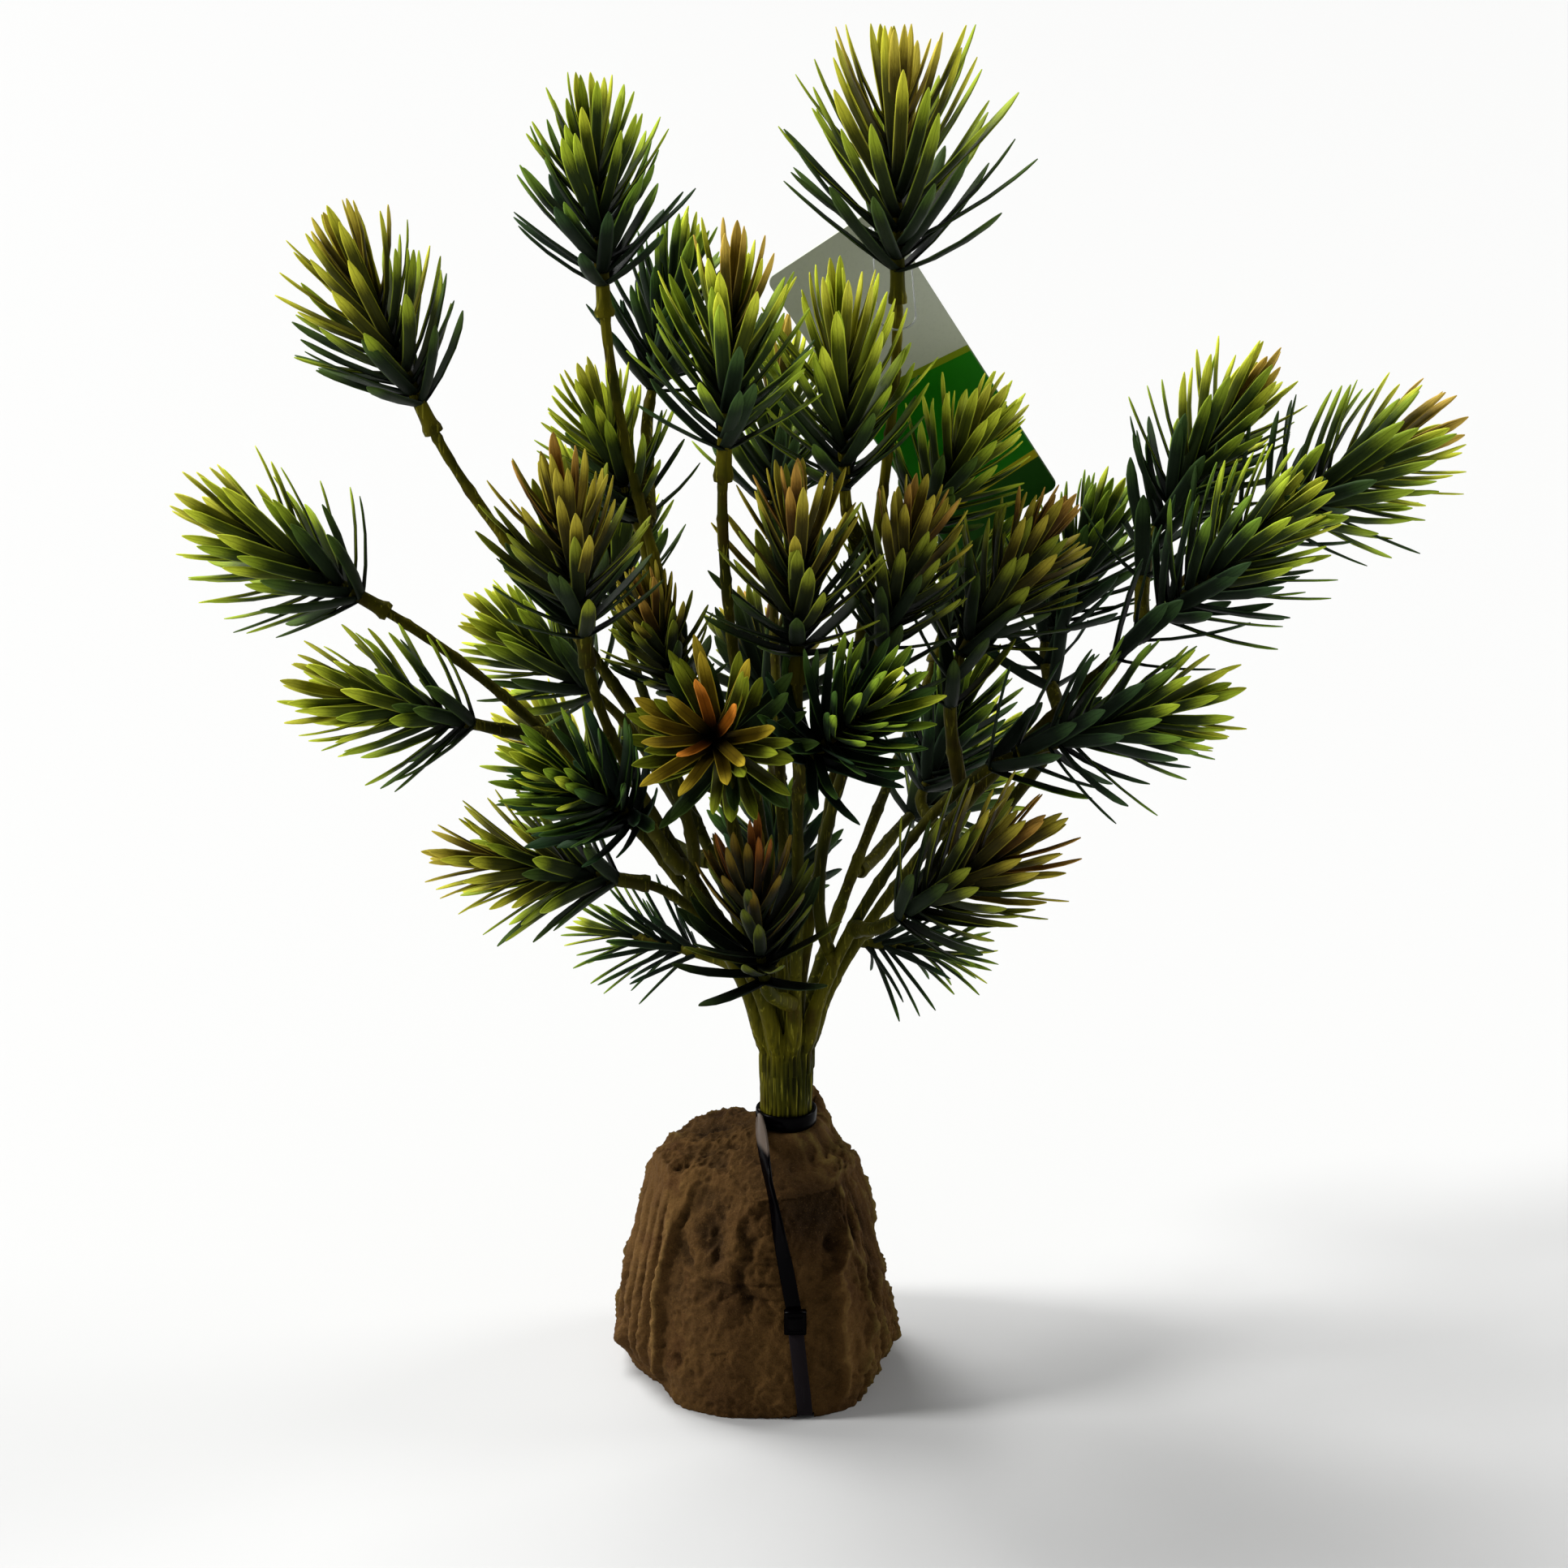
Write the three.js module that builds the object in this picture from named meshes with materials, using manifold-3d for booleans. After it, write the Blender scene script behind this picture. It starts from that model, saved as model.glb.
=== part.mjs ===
// Artificial podocarpus for a table or a terrarium: leafy sprays on bendable stems that fork from
// one short trunk, on a moulded rock base, with a tie strap round base and trunk and a hang tag.
// Millimetres, +Z up, the viewer on the -Y side, the origin on the flat underside of the rock.
import * as THREE from 'three';
import { mergeVertices } from 'three/addons/utils/BufferGeometryUtils.js';
import Module from 'manifold-3d';

const wasm = await Module();
wasm.setup();

const clearance = 0.3;
const weldWithin = 0.001;
const up = new THREE.Vector3(0, 0, 1);
const rightward = new THREE.Vector3(1, 0, 0);

// Driving dimensions

const rock = {
  halfWidth: 32,
  halfDepth: 31,
  shoulder: 52,
  crest: 60.2,
  taper: 0.27,
  squareness: 2.15,
  sideShare: 0.66,
  sides: 36,
  bands: 12,
  horn: { x: 14.5, y: 10, height: 12, spread: 5 },
  spur: { turn: -4, spread: 0.17, height: 10, tall: 6, reach: 2.4 },
  tuck: { height: 9, depth: 1.5 },
  lobes: [{ count: 2, size: 2.1, phase: 3.4, twist: 0 }, { count: 5, size: 1.2, phase: 6, twist: 0.05 }],
  ledge: { size: 0.6, pitch: 6, twist: 2 },
  lump: { size: 0.5, pitch: 3.4 },
};

const trunk = { x: 6.7, foot: 57.3, top: 81, radius: 5.5, flare: 0.3, flute: 0.26, flutes: 9, socket: 3 };

const bough = {
  footRadius: 1.22,
  tipRadius: 0.95,
  outerRing: 4.15,
  innerRing: 1.55,
  sides: 5,
  steps: 7,
  lean: 0.3,
  sway: 0.28,
};

const nub = { footRadius: 1.35, endRadius: 1.15, length: 1.7 };

const stem = { radius: 1.1, tipRadius: 0.7, sides: 3, steps: 5, sway: 0.34 };

const spray = { stalk: 27, lead: 4 };

// One spray is a stack of whorls: place along the stalk, leaves, opening angle and leaf length.
const whorls = [
  { at: 0.04, leaves: 4, open: 64, length: 21 },
  { at: 0.2, leaves: 4, open: 56, length: 22 },
  { at: 0.4, leaves: 3, open: 46, length: 20.5 },
  { at: 0.6, leaves: 3, open: 35, length: 19 },
  { at: 0.8, leaves: 2, open: 23, length: 17.5 },
  { at: 0.98, leaves: 1, open: 4, length: 16 },
];

const leaf = { width: 4.4, thick: 0.66, widest: 0.5, curl: 1.6, apart: 0.45 };

// The strap's places across the rock: at the band, the shoulder and the foot in front, and behind.
const strap = {
  width: 3.4,
  thick: 1,
  lift: 1.2,
  groove: 0.95,
  spacing: 8,
  bandX: 1.9,
  shoulderX: 3.4,
  footX: 11,
  backX: 4.5,
};

const head = { x: 8.6, z: 23.5, width: 4.8, height: 5, depth: 2.6 };

const band = { foot: 59.9, height: 3.5, thick: 0.9, sides: 24 };

const tag = {
  corner: [26.5, 16, 265],
  lean: [44, 22, -67],
  across: [-66, 0, -43],
  width: 29,
  length: 80,
  thick: 0.5,
  rounding: 2,
  inset: 4.6,
  hole: 1.7,
};

const loop = { bough: 'centre_top', at: 0.965, halfWidth: 4, beyond: 2, snug: 1.9, radius: 0.4 };

// The boughs: where each leaves the trunk's fork, or the bough that carries it. Each one ends
// where it enters the spray of its own name.
const boughs = [
  { name: 'right_low', ring: 'outer', seat: -35 },
  { name: 'right_far', ring: 'outer', seat: 5 },
  { name: 'back_right', ring: 'outer', seat: 45 },
  { name: 'back_high', ring: 'outer', seat: 85 },
  { name: 'back_left', ring: 'outer', seat: 125 },
  { name: 'left_low', ring: 'outer', seat: 165 },
  { name: 'left_front', ring: 'outer', seat: 205 },
  { name: 'front_left', ring: 'outer', seat: 245 },
  { name: 'centre_front', ring: 'outer', seat: 285 },
  { name: 'centre_left', ring: 'inner', seat: 150 },
  { name: 'centre_top', ring: 'inner', seat: 30 },
  { name: 'front_high', ring: 'inner', seat: 270 },
  { name: 'left_high', on: 'left_low', at: 0.3 },
  { name: 'right_wide', on: 'right_far', at: 0.24 },
  { name: 'right_mid', on: 'right_low', at: 0.26 },
];

// The sprays: foot of the leaves in mm, and the way the stalk points, turned from +X towards the
// back and risen from level. A spray that no bough ends in sits on a side stem of one.
const sprays = [
  { name: 'left_high', foot: [-70, -8, 225], turn: 198, rise: 66, size: 1.05 },
  { name: 'left_low', foot: [-85, 0, 182], turn: 177, rise: 30, size: 1.05 },
  { name: 'left_mid', on: 'left_low', at: 0.66, foot: [-60, -12, 157], turn: 192, rise: 16, size: 0.97 },
  { name: 'front_left', foot: [-35, -34, 181], turn: 240, rise: 78, size: 0.98 },
  { name: 'centre_left', foot: [-32, 0, 249], turn: 220, rise: 86, size: 1 },
  { name: 'centre_rear', on: 'centre_left', at: 0.72, foot: [-23, 21, 224], turn: 40, rise: 72, size: 0.92 },
  { name: 'left_inner', on: 'centre_left', at: 0.55, foot: [-26, 9, 197], turn: 190, rise: 72, size: 0.86 },
  { name: 'front_high', foot: [-6, -30, 219], turn: 300, rise: 84, size: 1.06 },
  { name: 'centre_top', foot: [30, -2, 252], turn: 250, rise: 86, size: 1.16, broad: 1.22 },
  { name: 'centre_upper', on: 'centre_top', at: 0.66, foot: [19, -14, 208], turn: 240, rise: 86, size: 1.1 },
  { name: 'right_inner', on: 'centre_top', at: 0.48, foot: [36, 6, 196], turn: 15, rise: 60, size: 0.86 },
  { name: 'centre_front', foot: [9, -28, 176], turn: 268, rise: 81, size: 0.98 },
  { name: 'right_mid', foot: [27, -14, 174], turn: 350, rise: 76, size: 0.9 },
  { name: 'right_bronze', on: 'right_far', at: 0.55, foot: [46, -4, 173], turn: 20, rise: 54, size: 0.9 },
  { name: 'facing', on: 'front_high', at: 0.5, foot: [-6, -31, 158], turn: 268, rise: 18, size: 1.02 },
  { name: 'facing_right', on: 'centre_front', at: 0.72, foot: [11, -27, 153], turn: 305, rise: 38, size: 0.98 },
  { name: 'left_back', on: 'back_left', at: 0.5, foot: [-36, 17, 156], turn: 160, rise: 32, size: 0.86 },
  { name: 'left_facing', on: 'front_left', at: 0.5, foot: [-24, -30, 141], turn: 228, rise: 32, size: 0.9 },
  { name: 'left_front', foot: [-29, -16, 123], turn: 190, rise: 12, size: 0.98 },
  { name: 'foot_front', on: 'centre_front', at: 0.14, foot: [2, -20, 101], turn: 250, rise: 70, size: 0.98 },
  { name: 'right_front', on: 'right_low', at: 0.36, foot: [30, -25, 117], turn: 350, rise: 36, size: 1 },
  { name: 'right_low', foot: [62, -18, 154], turn: 356, rise: 19, size: 1 },
  { name: 'right_far', foot: [87, -6, 179], turn: 357, rise: 43, size: 1.08 },
  { name: 'right_wide', foot: [113, 14, 197], turn: 5, rise: 29, size: 1.12 },
  { name: 'right_upper', on: 'right_wide', at: 0.74, foot: [91, 22, 196], turn: 14, rise: 57, size: 1 },
  { name: 'right_rear', on: 'right_wide', at: 0.5, foot: [67, 30, 168], turn: 30, rise: 62, size: 0.9 },
  { name: 'right_under', on: 'right_wide', at: 0.2, foot: [38, 22, 132], turn: 24, rise: 64, size: 0.86 },
  { name: 'left_drooping', on: 'back_left', at: 0.14, foot: [-13, 18, 94], turn: 160, rise: 8, size: 0.8 },
  { name: 'right_drooping', on: 'back_right', at: 0.12, foot: [24, 18, 97], turn: 20, rise: -14, size: 0.8 },
  { name: 'left_tan', on: 'centre_left', at: 0.36, foot: [-17, 2, 160], turn: 215, rise: 70, size: 0.72 },
  { name: 'back_left', foot: [-32, 50, 168], turn: 120, rise: 66, size: 1.02 },
  { name: 'back_left_low', on: 'back_left', at: 0.42, foot: [-34, 42, 124], turn: 134, rise: 22, size: 0.98 },
  { name: 'back_high', foot: [4, 48, 192], turn: 80, rise: 80, size: 1.06 },
  { name: 'back_facing', on: 'back_high', at: 0.5, foot: [2, 44, 146], turn: 92, rise: 22, size: 1 },
  { name: 'back_foot', on: 'back_high', at: 0.16, foot: [4, 24, 106], turn: 92, rise: 26, size: 0.92 },
  { name: 'back_right', foot: [44, 56, 160], turn: 50, rise: 60, size: 1 },
  { name: 'back_right_low', on: 'back_right', at: 0.42, foot: [36, 42, 120], turn: 48, rise: 22, size: 0.98 },
];

// Solids

function seeded(seed) {
  let state = seed;
  return () => {
    state = (state * 16807) % 2147483647;
    return state / 2147483647;
  };
}

function welded(geometry) {
  const bare = geometry.clone();
  bare.deleteAttribute('normal');
  bare.deleteAttribute('uv');
  return mergeVertices(bare, weldWithin);
}

function toSolid(geometry) {
  const closed = welded(geometry);
  return new wasm.Manifold(new wasm.Mesh({
    numProp: 3,
    vertProperties: new Float32Array(closed.attributes.position.array),
    triVerts: new Uint32Array(closed.index.array),
  }));
}

function fromSolid(solid) {
  const mesh = solid.getMesh();
  const geometry = new THREE.BufferGeometry();
  geometry.setAttribute('position', new THREE.BufferAttribute(mesh.vertProperties, 3));
  geometry.setIndex(new THREE.BufferAttribute(mesh.triVerts, 1));
  return geometry;
}

// Keeps the outer skin of the largest body, so sealed hollows are filled and scraps dropped.
function largestShell(geometry) {
  const { position } = geometry.attributes;
  const { index } = geometry;
  const parent = Array.from({ length: position.count }, (_, i) => i);
  const root = (start) => {
    let i = start;
    while (parent[i] !== i) {
      i = parent[i];
    }
    parent[start] = i;
    return i;
  };
  for (let i = 0; i < index.count; i += 3) {
    parent[root(index.getX(i))] = root(index.getX(i + 1));
    parent[root(index.getX(i + 1))] = root(index.getX(i + 2));
  }
  const shells = new Map();
  for (let i = 0; i < index.count; i += 3) {
    const corners = [0, 1, 2].map((k) => index.getX(i + k));
    const [a, b, c] = corners.map((k) => new THREE.Vector3().fromBufferAttribute(position, k));
    const shell = shells.get(root(corners[0])) ?? { volume: 0, corners: [] };
    shell.volume += a.dot(b.cross(c)) / 6;
    shell.corners.push(...corners);
    shells.set(root(corners[0]), shell);
  }
  const [outer] = [...shells.values()].sort((one, other) => other.volume - one.volume);
  const kept = new THREE.BufferGeometry();
  kept.setAttribute('position', position);
  kept.setIndex(outer.corners);
  return mergeVertices(kept.toNonIndexed(), weldWithin);
}

// Welding can pinch a thin hollow shut, so the skin is welded and taken again.
function settled(solid) {
  const skin = largestShell(fromSolid(solid));
  return largestShell(fromSolid(toSolid(skin)));
}

function fuse(geometries) {
  return settled(geometries.map(toSolid).reduce((joined, next) => joined.add(next)));
}

function cut(geometry, tools) {
  return settled(tools.map(toSolid).reduce((rest, tool) => rest.subtract(tool), toSolid(geometry)));
}

// A closed round bar along a curve, its radius given along the way from 0 to 1.
function limb(curve, radiusAt, sides, steps) {
  const geometry = new THREE.CylinderGeometry(1, 1, 1, sides, steps);
  const frames = curve.computeFrenetFrames(steps);
  const { position } = geometry.attributes;
  for (let i = 0; i < position.count; i += 1) {
    const ring = Math.round((position.getY(i) + 0.5) * steps);
    const radius = radiusAt(ring / steps);
    const point = curve.getPointAt(ring / steps)
      .addScaledVector(frames.normals[ring], position.getX(i) * radius)
      .addScaledVector(frames.binormals[ring], -position.getZ(i) * radius);
    position.setXYZ(i, point.x, point.y, point.z);
  }
  return welded(geometry);
}

// A closed flat bar through stations, each a point and the way across the bar there.
function ribbon(stations, width, thick) {
  const steps = stations.length - 1;
  const geometry = new THREE.CylinderGeometry(Math.SQRT2, Math.SQRT2, 1, 4, steps, false, Math.PI / 4);
  const { position } = geometry.attributes;
  for (let i = 0; i < position.count; i += 1) {
    const ring = Math.round((position.getY(i) + 0.5) * steps);
    const [before, after] = [stations[Math.max(ring - 1, 0)], stations[Math.min(ring + 1, steps)]];
    const way = after.point.clone().sub(before.point).normalize();
    const across = stations[ring].across.clone();
    across.addScaledVector(way, -across.dot(way)).normalize();
    const point = stations[ring].point.clone()
      .addScaledVector(across, position.getX(i) * width / 2)
      .addScaledVector(across.clone().cross(way), position.getZ(i) * thick / 2);
    position.setXYZ(i, point.x, point.y, point.z);
  }
  return welded(geometry);
}

function upright(radius, low, high, sides) {
  const geometry = new THREE.CylinderGeometry(radius, radius, high - low, sides);
  geometry.rotateX(Math.PI / 2);
  geometry.translate(trunk.x, 0, (low + high) / 2);
  return geometry;
}

function block(width, depth, height, x, y, z) {
  return new THREE.BoxGeometry(width, depth, height).translate(x, y, z);
}

// A direction turned from +X towards +Y and risen from level, in degrees.
function heading(turn, rise) {
  const around = THREE.MathUtils.degToRad(turn);
  const lift = THREE.MathUtils.degToRad(rise);
  const level = Math.cos(lift);
  return new THREE.Vector3(Math.cos(around) * level, Math.sin(around) * level, Math.sin(lift));
}

// Rock base

// Radius of the rock's side at an angle round the base and a height.
function rockRadius(turn, height) {
  const across = Math.abs(Math.cos(turn)) / rock.halfWidth;
  const along = Math.abs(Math.sin(turn)) / rock.halfDepth;
  const outline = (across ** rock.squareness + along ** rock.squareness) ** (-1 / rock.squareness);
  const rise = height / rock.shoulder;
  const relief = rock.lobes.reduce((sum, { count, size, phase, twist }) => (
    sum + size * Math.sin(turn * count + phase - height * twist)
  ), rock.ledge.size * Math.sin(height / rock.ledge.pitch + turn * rock.ledge.twist));
  const aside = (turn - THREE.MathUtils.degToRad(rock.spur.turn)) / rock.spur.spread;
  const above = (height - rock.spur.height) / rock.spur.tall;
  const spur = rock.spur.reach * Math.exp(-(aside ** 2) - above ** 2);
  const tuck = rock.tuck.depth * Math.max(0, 1 - height / rock.tuck.height) ** 2;
  const body = outline * (1 - rock.taper * rise ** 2.2);
  return body + relief * THREE.MathUtils.lerp(0.55, 1, rise) + spur - tuck;
}

function rockTop(x, y) {
  const edge = rockRadius(Math.atan2(y, x), rock.shoulder);
  const reach = Math.min(1, Math.hypot(x, y) / edge);
  const dome = rock.shoulder + (rock.crest - rock.shoulder) * (1 - reach ** 1.8);
  const lumps = rock.lump.size * Math.sin(x / rock.lump.pitch) * Math.cos(y / rock.lump.pitch) * (1 - reach);
  const away = ((x - rock.horn.x) ** 2 + (y - rock.horn.y) ** 2) / rock.horn.spread ** 2;
  return dome + lumps + rock.horn.height * Math.exp(-away) * (1 - reach ** 6);
}

// The rock's skin, from its side's foot at 0 over the shoulder to the top's middle at 1.
function rockPoint(turn, along) {
  const height = rock.shoulder * Math.min(1, along / rock.sideShare);
  const inward = Math.max(0, (along - rock.sideShare) / (1 - rock.sideShare));
  const radius = rockRadius(turn, height) * (1 - inward);
  const x = Math.cos(turn) * radius;
  const y = Math.sin(turn) * radius;
  return new THREE.Vector3(x, y, inward > 0 ? rockTop(x, y) : height);
}

function rockShell() {
  const rows = rock.bands + 1;
  const geometry = new THREE.SphereGeometry(1, rock.sides, rows);
  const { position } = geometry.attributes;
  for (let i = 0; i < position.count; i += 1) {
    const fromTop = Math.acos(THREE.MathUtils.clamp(position.getY(i), -1, 1)) / Math.PI;
    const row = Math.round((1 - fromTop) * rows) - 1;
    const turn = Math.atan2(-position.getZ(i), position.getX(i));
    const point = row < 0 ? new THREE.Vector3() : rockPoint(turn, row / rock.bands);
    position.setXYZ(i, point.x, point.y, point.z);
  }
  return welded(geometry);
}

const rockSkin = rockShell();

// Where a line from outside first meets the rock.
function meetRock(from, way) {
  const mesh = new THREE.Mesh(rockSkin, new THREE.MeshBasicMaterial({ side: THREE.DoubleSide }));
  const [hit] = new THREE.Raycaster(from, way).intersectObject(mesh);
  return hit.point;
}

// The rock's face in front of (side -1) or behind (side 1) a place across it, and its top.
function rockFace(x, height, side) {
  const above = Math.max(height, 0.01);
  return meetRock(new THREE.Vector3(x, side * 3 * rock.halfDepth, above), new THREE.Vector3(0, -side, 0)).y;
}

function rockRoof(x, y) {
  return meetRock(new THREE.Vector3(x, y, 3 * rock.crest), new THREE.Vector3(0, 0, -1)).z;
}

// Tie strap

const bandInner = trunk.radius + trunk.flute + clearance;
const bandOuter = bandInner + band.thick;
const bandMiddle = band.foot + band.height / 2;

// Stations of the strap down one side of the rock, square to its outline.
function strapDown(side, from, to, acrossFrom, acrossTo) {
  const count = Math.max(2, Math.round(Math.abs(to - from) / strap.spacing));
  return Array.from({ length: count + 1 }, (_, i) => {
    const height = THREE.MathUtils.lerp(from, to, i / count);
    const x = THREE.MathUtils.lerp(acrossFrom, acrossTo, i / count);
    const y = rockFace(x, height, side);
    const outward = new THREE.Vector3(x, y, 0).normalize();
    const point = new THREE.Vector3(x, y, height).addScaledVector(outward, strap.lift);
    return { point, across: new THREE.Vector3(Math.abs(outward.y), -side * outward.x, 0) };
  });
}

// Stations over the rock's top, from the band out round the shoulder.
function strapOver(side, acrossFrom, acrossTo) {
  const nearest = Math.max(0, Math.abs(acrossFrom - trunk.x) - strap.width / 2);
  const start = side * (Math.sqrt(bandOuter ** 2 - nearest ** 2) + 1.5 * clearance);
  const edge = rockFace(acrossTo, rock.shoulder - 1, side);
  const roof = [0.3, 0.6, 0.85].map((share) => {
    const x = THREE.MathUtils.lerp(acrossFrom, acrossTo, share);
    const y = THREE.MathUtils.lerp(start, edge, share);
    return new THREE.Vector3(x, y, rockRoof(x, y) + strap.lift);
  });
  const corner = new THREE.Vector3(acrossTo, edge + side * strap.lift, rock.shoulder + 0.8 * strap.lift);
  const route = [new THREE.Vector3(acrossFrom, start, bandMiddle), ...roof, corner];
  return route.map((point) => ({ point, across: rightward }));
}

// Stations round the rock's foot and under it, in its groove.
function strapUnder() {
  const [front, back] = [-1, 1].map((side) => rockFace(strap.footX, 0, side));
  const bend = [front - strap.lift, front + strap.lift, back - strap.lift, back + strap.lift];
  return bend.map((y) => ({ point: new THREE.Vector3(strap.footX, y, strap.groove), across: rightward }));
}

const headTop = head.z + head.height / 2 + 2 * clearance;
const headFoot = head.z - head.height / 2 - 2 * clearance;

const upperStrapPath = [
  ...strapOver(-1, strap.bandX, strap.shoulderX),
  ...strapDown(-1, rock.shoulder - 6, headTop, strap.shoulderX + 0.6, head.x - 0.4),
];

const lowerStrapPath = [
  ...strapDown(-1, headFoot, 4, head.x, strap.footX),
  ...strapUnder(),
  ...strapDown(1, 4, rock.shoulder - 6, strap.footX, strap.backX),
  ...strapOver(1, strap.backX, strap.backX).reverse(),
];

function bandRing() {
  const [low, high] = [band.foot, band.foot + band.height];
  return cut(upright(bandOuter, low, high, band.sides), [upright(bandInner, low - 1, high + 1, band.sides)]);
}

function strapHead() {
  const y = rockFace(head.x - head.width / 2, head.z, -1) - 2 * clearance - head.depth / 2;
  return block(head.width, head.depth, head.height, head.x, y, head.z);
}

function rockBase() {
  const bearing = band.foot - clearance;
  const above = rock.crest + rock.horn.height + 5;
  const groove = strap.groove + strap.thick / 2 + clearance;
  return cut(rockSkin, [
    upright(bandOuter + clearance, bearing, above, band.sides),
    upright(bandInner, trunk.foot - clearance, above, band.sides),
    block(strap.width + 2 * clearance, 3 * rock.halfDepth, 2 * groove, strap.footX, 0, 0),
  ]);
}

// Trunk

function trunkSkin() {
  const height = trunk.top - trunk.foot;
  const geometry = new THREE.CylinderGeometry(1, 1, height, trunk.flutes * 2, 3);
  geometry.rotateX(Math.PI / 2);
  geometry.translate(0, 0, trunk.foot + height / 2);
  const { position } = geometry.attributes;
  for (let i = 0; i < position.count; i += 1) {
    const turn = Math.atan2(position.getY(i), position.getX(i));
    const rise = (position.getZ(i) - trunk.foot) / height;
    const flute = trunk.flute * Math.cos(turn * trunk.flutes + 0.6 * rise);
    const flare = trunk.flare * rise ** 2;
    const radius = (trunk.radius + flute + flare) * Math.hypot(position.getX(i), position.getY(i));
    position.setXYZ(i, trunk.x + Math.cos(turn) * radius, Math.sin(turn) * radius, position.getZ(i));
  }
  return welded(geometry);
}

// Boughs

const boughRadius = (along) => THREE.MathUtils.lerp(bough.footRadius, bough.tipRadius, along);

// The nub on a carrier that a side stem or bough plugs into, and where that one starts.
function sideSeat(carrier, at, target) {
  const seat = carrier.getPointAt(at);
  const way = carrier.getTangentAt(at);
  const aside = target.clone().sub(seat);
  aside.addScaledVector(way, -aside.dot(way)).normalize();
  const leave = aside.multiplyScalar(0.75).addScaledVector(way, 0.66).normalize();
  const nubEnd = seat.clone().addScaledVector(leave, boughRadius(at) + nub.length);
  return { seat, leave, nubEnd, start: nubEnd.clone().addScaledVector(leave, clearance) };
}

// A curve that starts one way and ends another.
function sweep(start, leave, end, arrive, sway) {
  const span = start.distanceTo(end) * sway;
  return new THREE.CubicBezierCurve3(
    start,
    start.clone().addScaledVector(leave, span),
    end.clone().addScaledVector(arrive, -span),
    end,
  );
}

const boughCurves = new Map();
const nubs = new Map(boughs.map((entry) => [entry.name, []]));

for (const entry of boughs) {
  const end = sprays.find((one) => one.name === entry.name);
  const axis = heading(end.turn, end.rise);
  const tip = new THREE.Vector3(...end.foot).addScaledVector(axis, -spray.lead);
  if (entry.on) {
    const seat = sideSeat(boughCurves.get(entry.on), entry.at, tip);
    nubs.get(entry.on).push(seat);
    boughCurves.set(entry.name, sweep(seat.start, seat.leave, tip, axis, bough.sway));
  } else {
    const ring = entry.ring === 'outer' ? bough.outerRing : bough.innerRing;
    const foot = heading(entry.seat, 0).multiplyScalar(ring);
    const leave = up.clone().addScaledVector(foot, bough.lean / bough.outerRing).normalize();
    foot.add(new THREE.Vector3(trunk.x, 0, trunk.top - trunk.socket));
    boughCurves.set(entry.name, sweep(foot, leave, tip, axis, bough.sway));
  }
}

// The stems of the sprays, each straight on from its bough's tip or from a nub on its carrier.
const stemPaths = sprays.map((entry) => {
  const axis = heading(entry.turn, entry.rise);
  const foot = new THREE.Vector3(...entry.foot);
  const end = foot.clone().addScaledVector(axis, spray.stalk * entry.size);
  const path = new THREE.CurvePath();
  if (entry.on) {
    const seat = sideSeat(boughCurves.get(entry.on), entry.at, foot);
    nubs.get(entry.on).push(seat);
    path.add(sweep(seat.start, seat.leave, foot, axis, stem.sway));
  } else {
    path.add(new THREE.LineCurve3(foot.clone().addScaledVector(axis, clearance - spray.lead), foot));
  }
  path.add(new THREE.LineCurve3(foot, end));
  return path;
});

function boughBody(name) {
  const curve = boughCurves.get(name);
  const nubRadius = (along) => THREE.MathUtils.lerp(nub.footRadius, nub.endRadius, along);
  const sockets = nubs.get(name).map(({ seat, nubEnd }) => (
    limb(new THREE.LineCurve3(seat, nubEnd), nubRadius, bough.sides, 1)
  ));
  return fuse([limb(curve, boughRadius, bough.sides, bough.steps), ...sockets]);
}

// Room for a bough's foot in the trunk's head, as wide as its own clearance all round.
function footRoom(name) {
  const curve = boughCurves.get(name);
  const radius = bough.footRadius + 1.25 * clearance;
  const foot = curve.getPointAt(0);
  const [below, above] = [-clearance, 1].map((lift) => foot.clone().addScaledVector(up, lift));
  return [
    limb(curve, () => radius, bough.sides, bough.steps),
    limb(new THREE.LineCurve3(below, above), () => radius, bough.sides, 1),
  ];
}

function trunkBody() {
  return cut(trunkSkin(), boughs.filter((entry) => !entry.on).flatMap(({ name }) => footRoom(name)));
}

// Hang tag

function tagAxes() {
  const lean = new THREE.Vector3(...tag.lean).normalize();
  const across = new THREE.Vector3(...tag.across);
  across.addScaledVector(lean, -across.dot(lean)).normalize();
  return { lean, across };
}

// A place on the tag, so far from its upper corner along its length and across its width.
function onTag(along, aside) {
  const { lean, across } = tagAxes();
  return new THREE.Vector3(...tag.corner).addScaledVector(lean, along).addScaledVector(across, aside);
}

function tagCard() {
  const card = new THREE.Shape();
  const [w, l, r] = [tag.width, tag.length, tag.rounding];
  card.moveTo(r, 0).lineTo(w - r, 0).quadraticCurveTo(w, 0, w, r).lineTo(w, l - r);
  card.quadraticCurveTo(w, l, w - r, l).lineTo(r, l).quadraticCurveTo(0, l, 0, l - r).lineTo(0, r);
  card.quadraticCurveTo(0, 0, r, 0);
  card.holes.push(new THREE.Path().absarc(tag.inset, tag.inset, tag.hole, 0, 2 * Math.PI, true));
  const extrusion = { depth: tag.thick, bevelEnabled: false, curveSegments: 4 };
  const geometry = new THREE.ExtrudeGeometry(card, extrusion);
  const { lean, across } = tagAxes();
  const basis = new THREE.Matrix4().makeBasis(across, lean, across.clone().cross(lean));
  geometry.applyMatrix4(basis.setPosition(new THREE.Vector3(...tag.corner)));
  return welded(geometry);
}

const loopFront = boughCurves.get(loop.bough).getPointAt(loop.at);
const loopBack = onTag(tag.inset, tag.inset).addScaledVector(rightward, loop.halfWidth);

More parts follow.
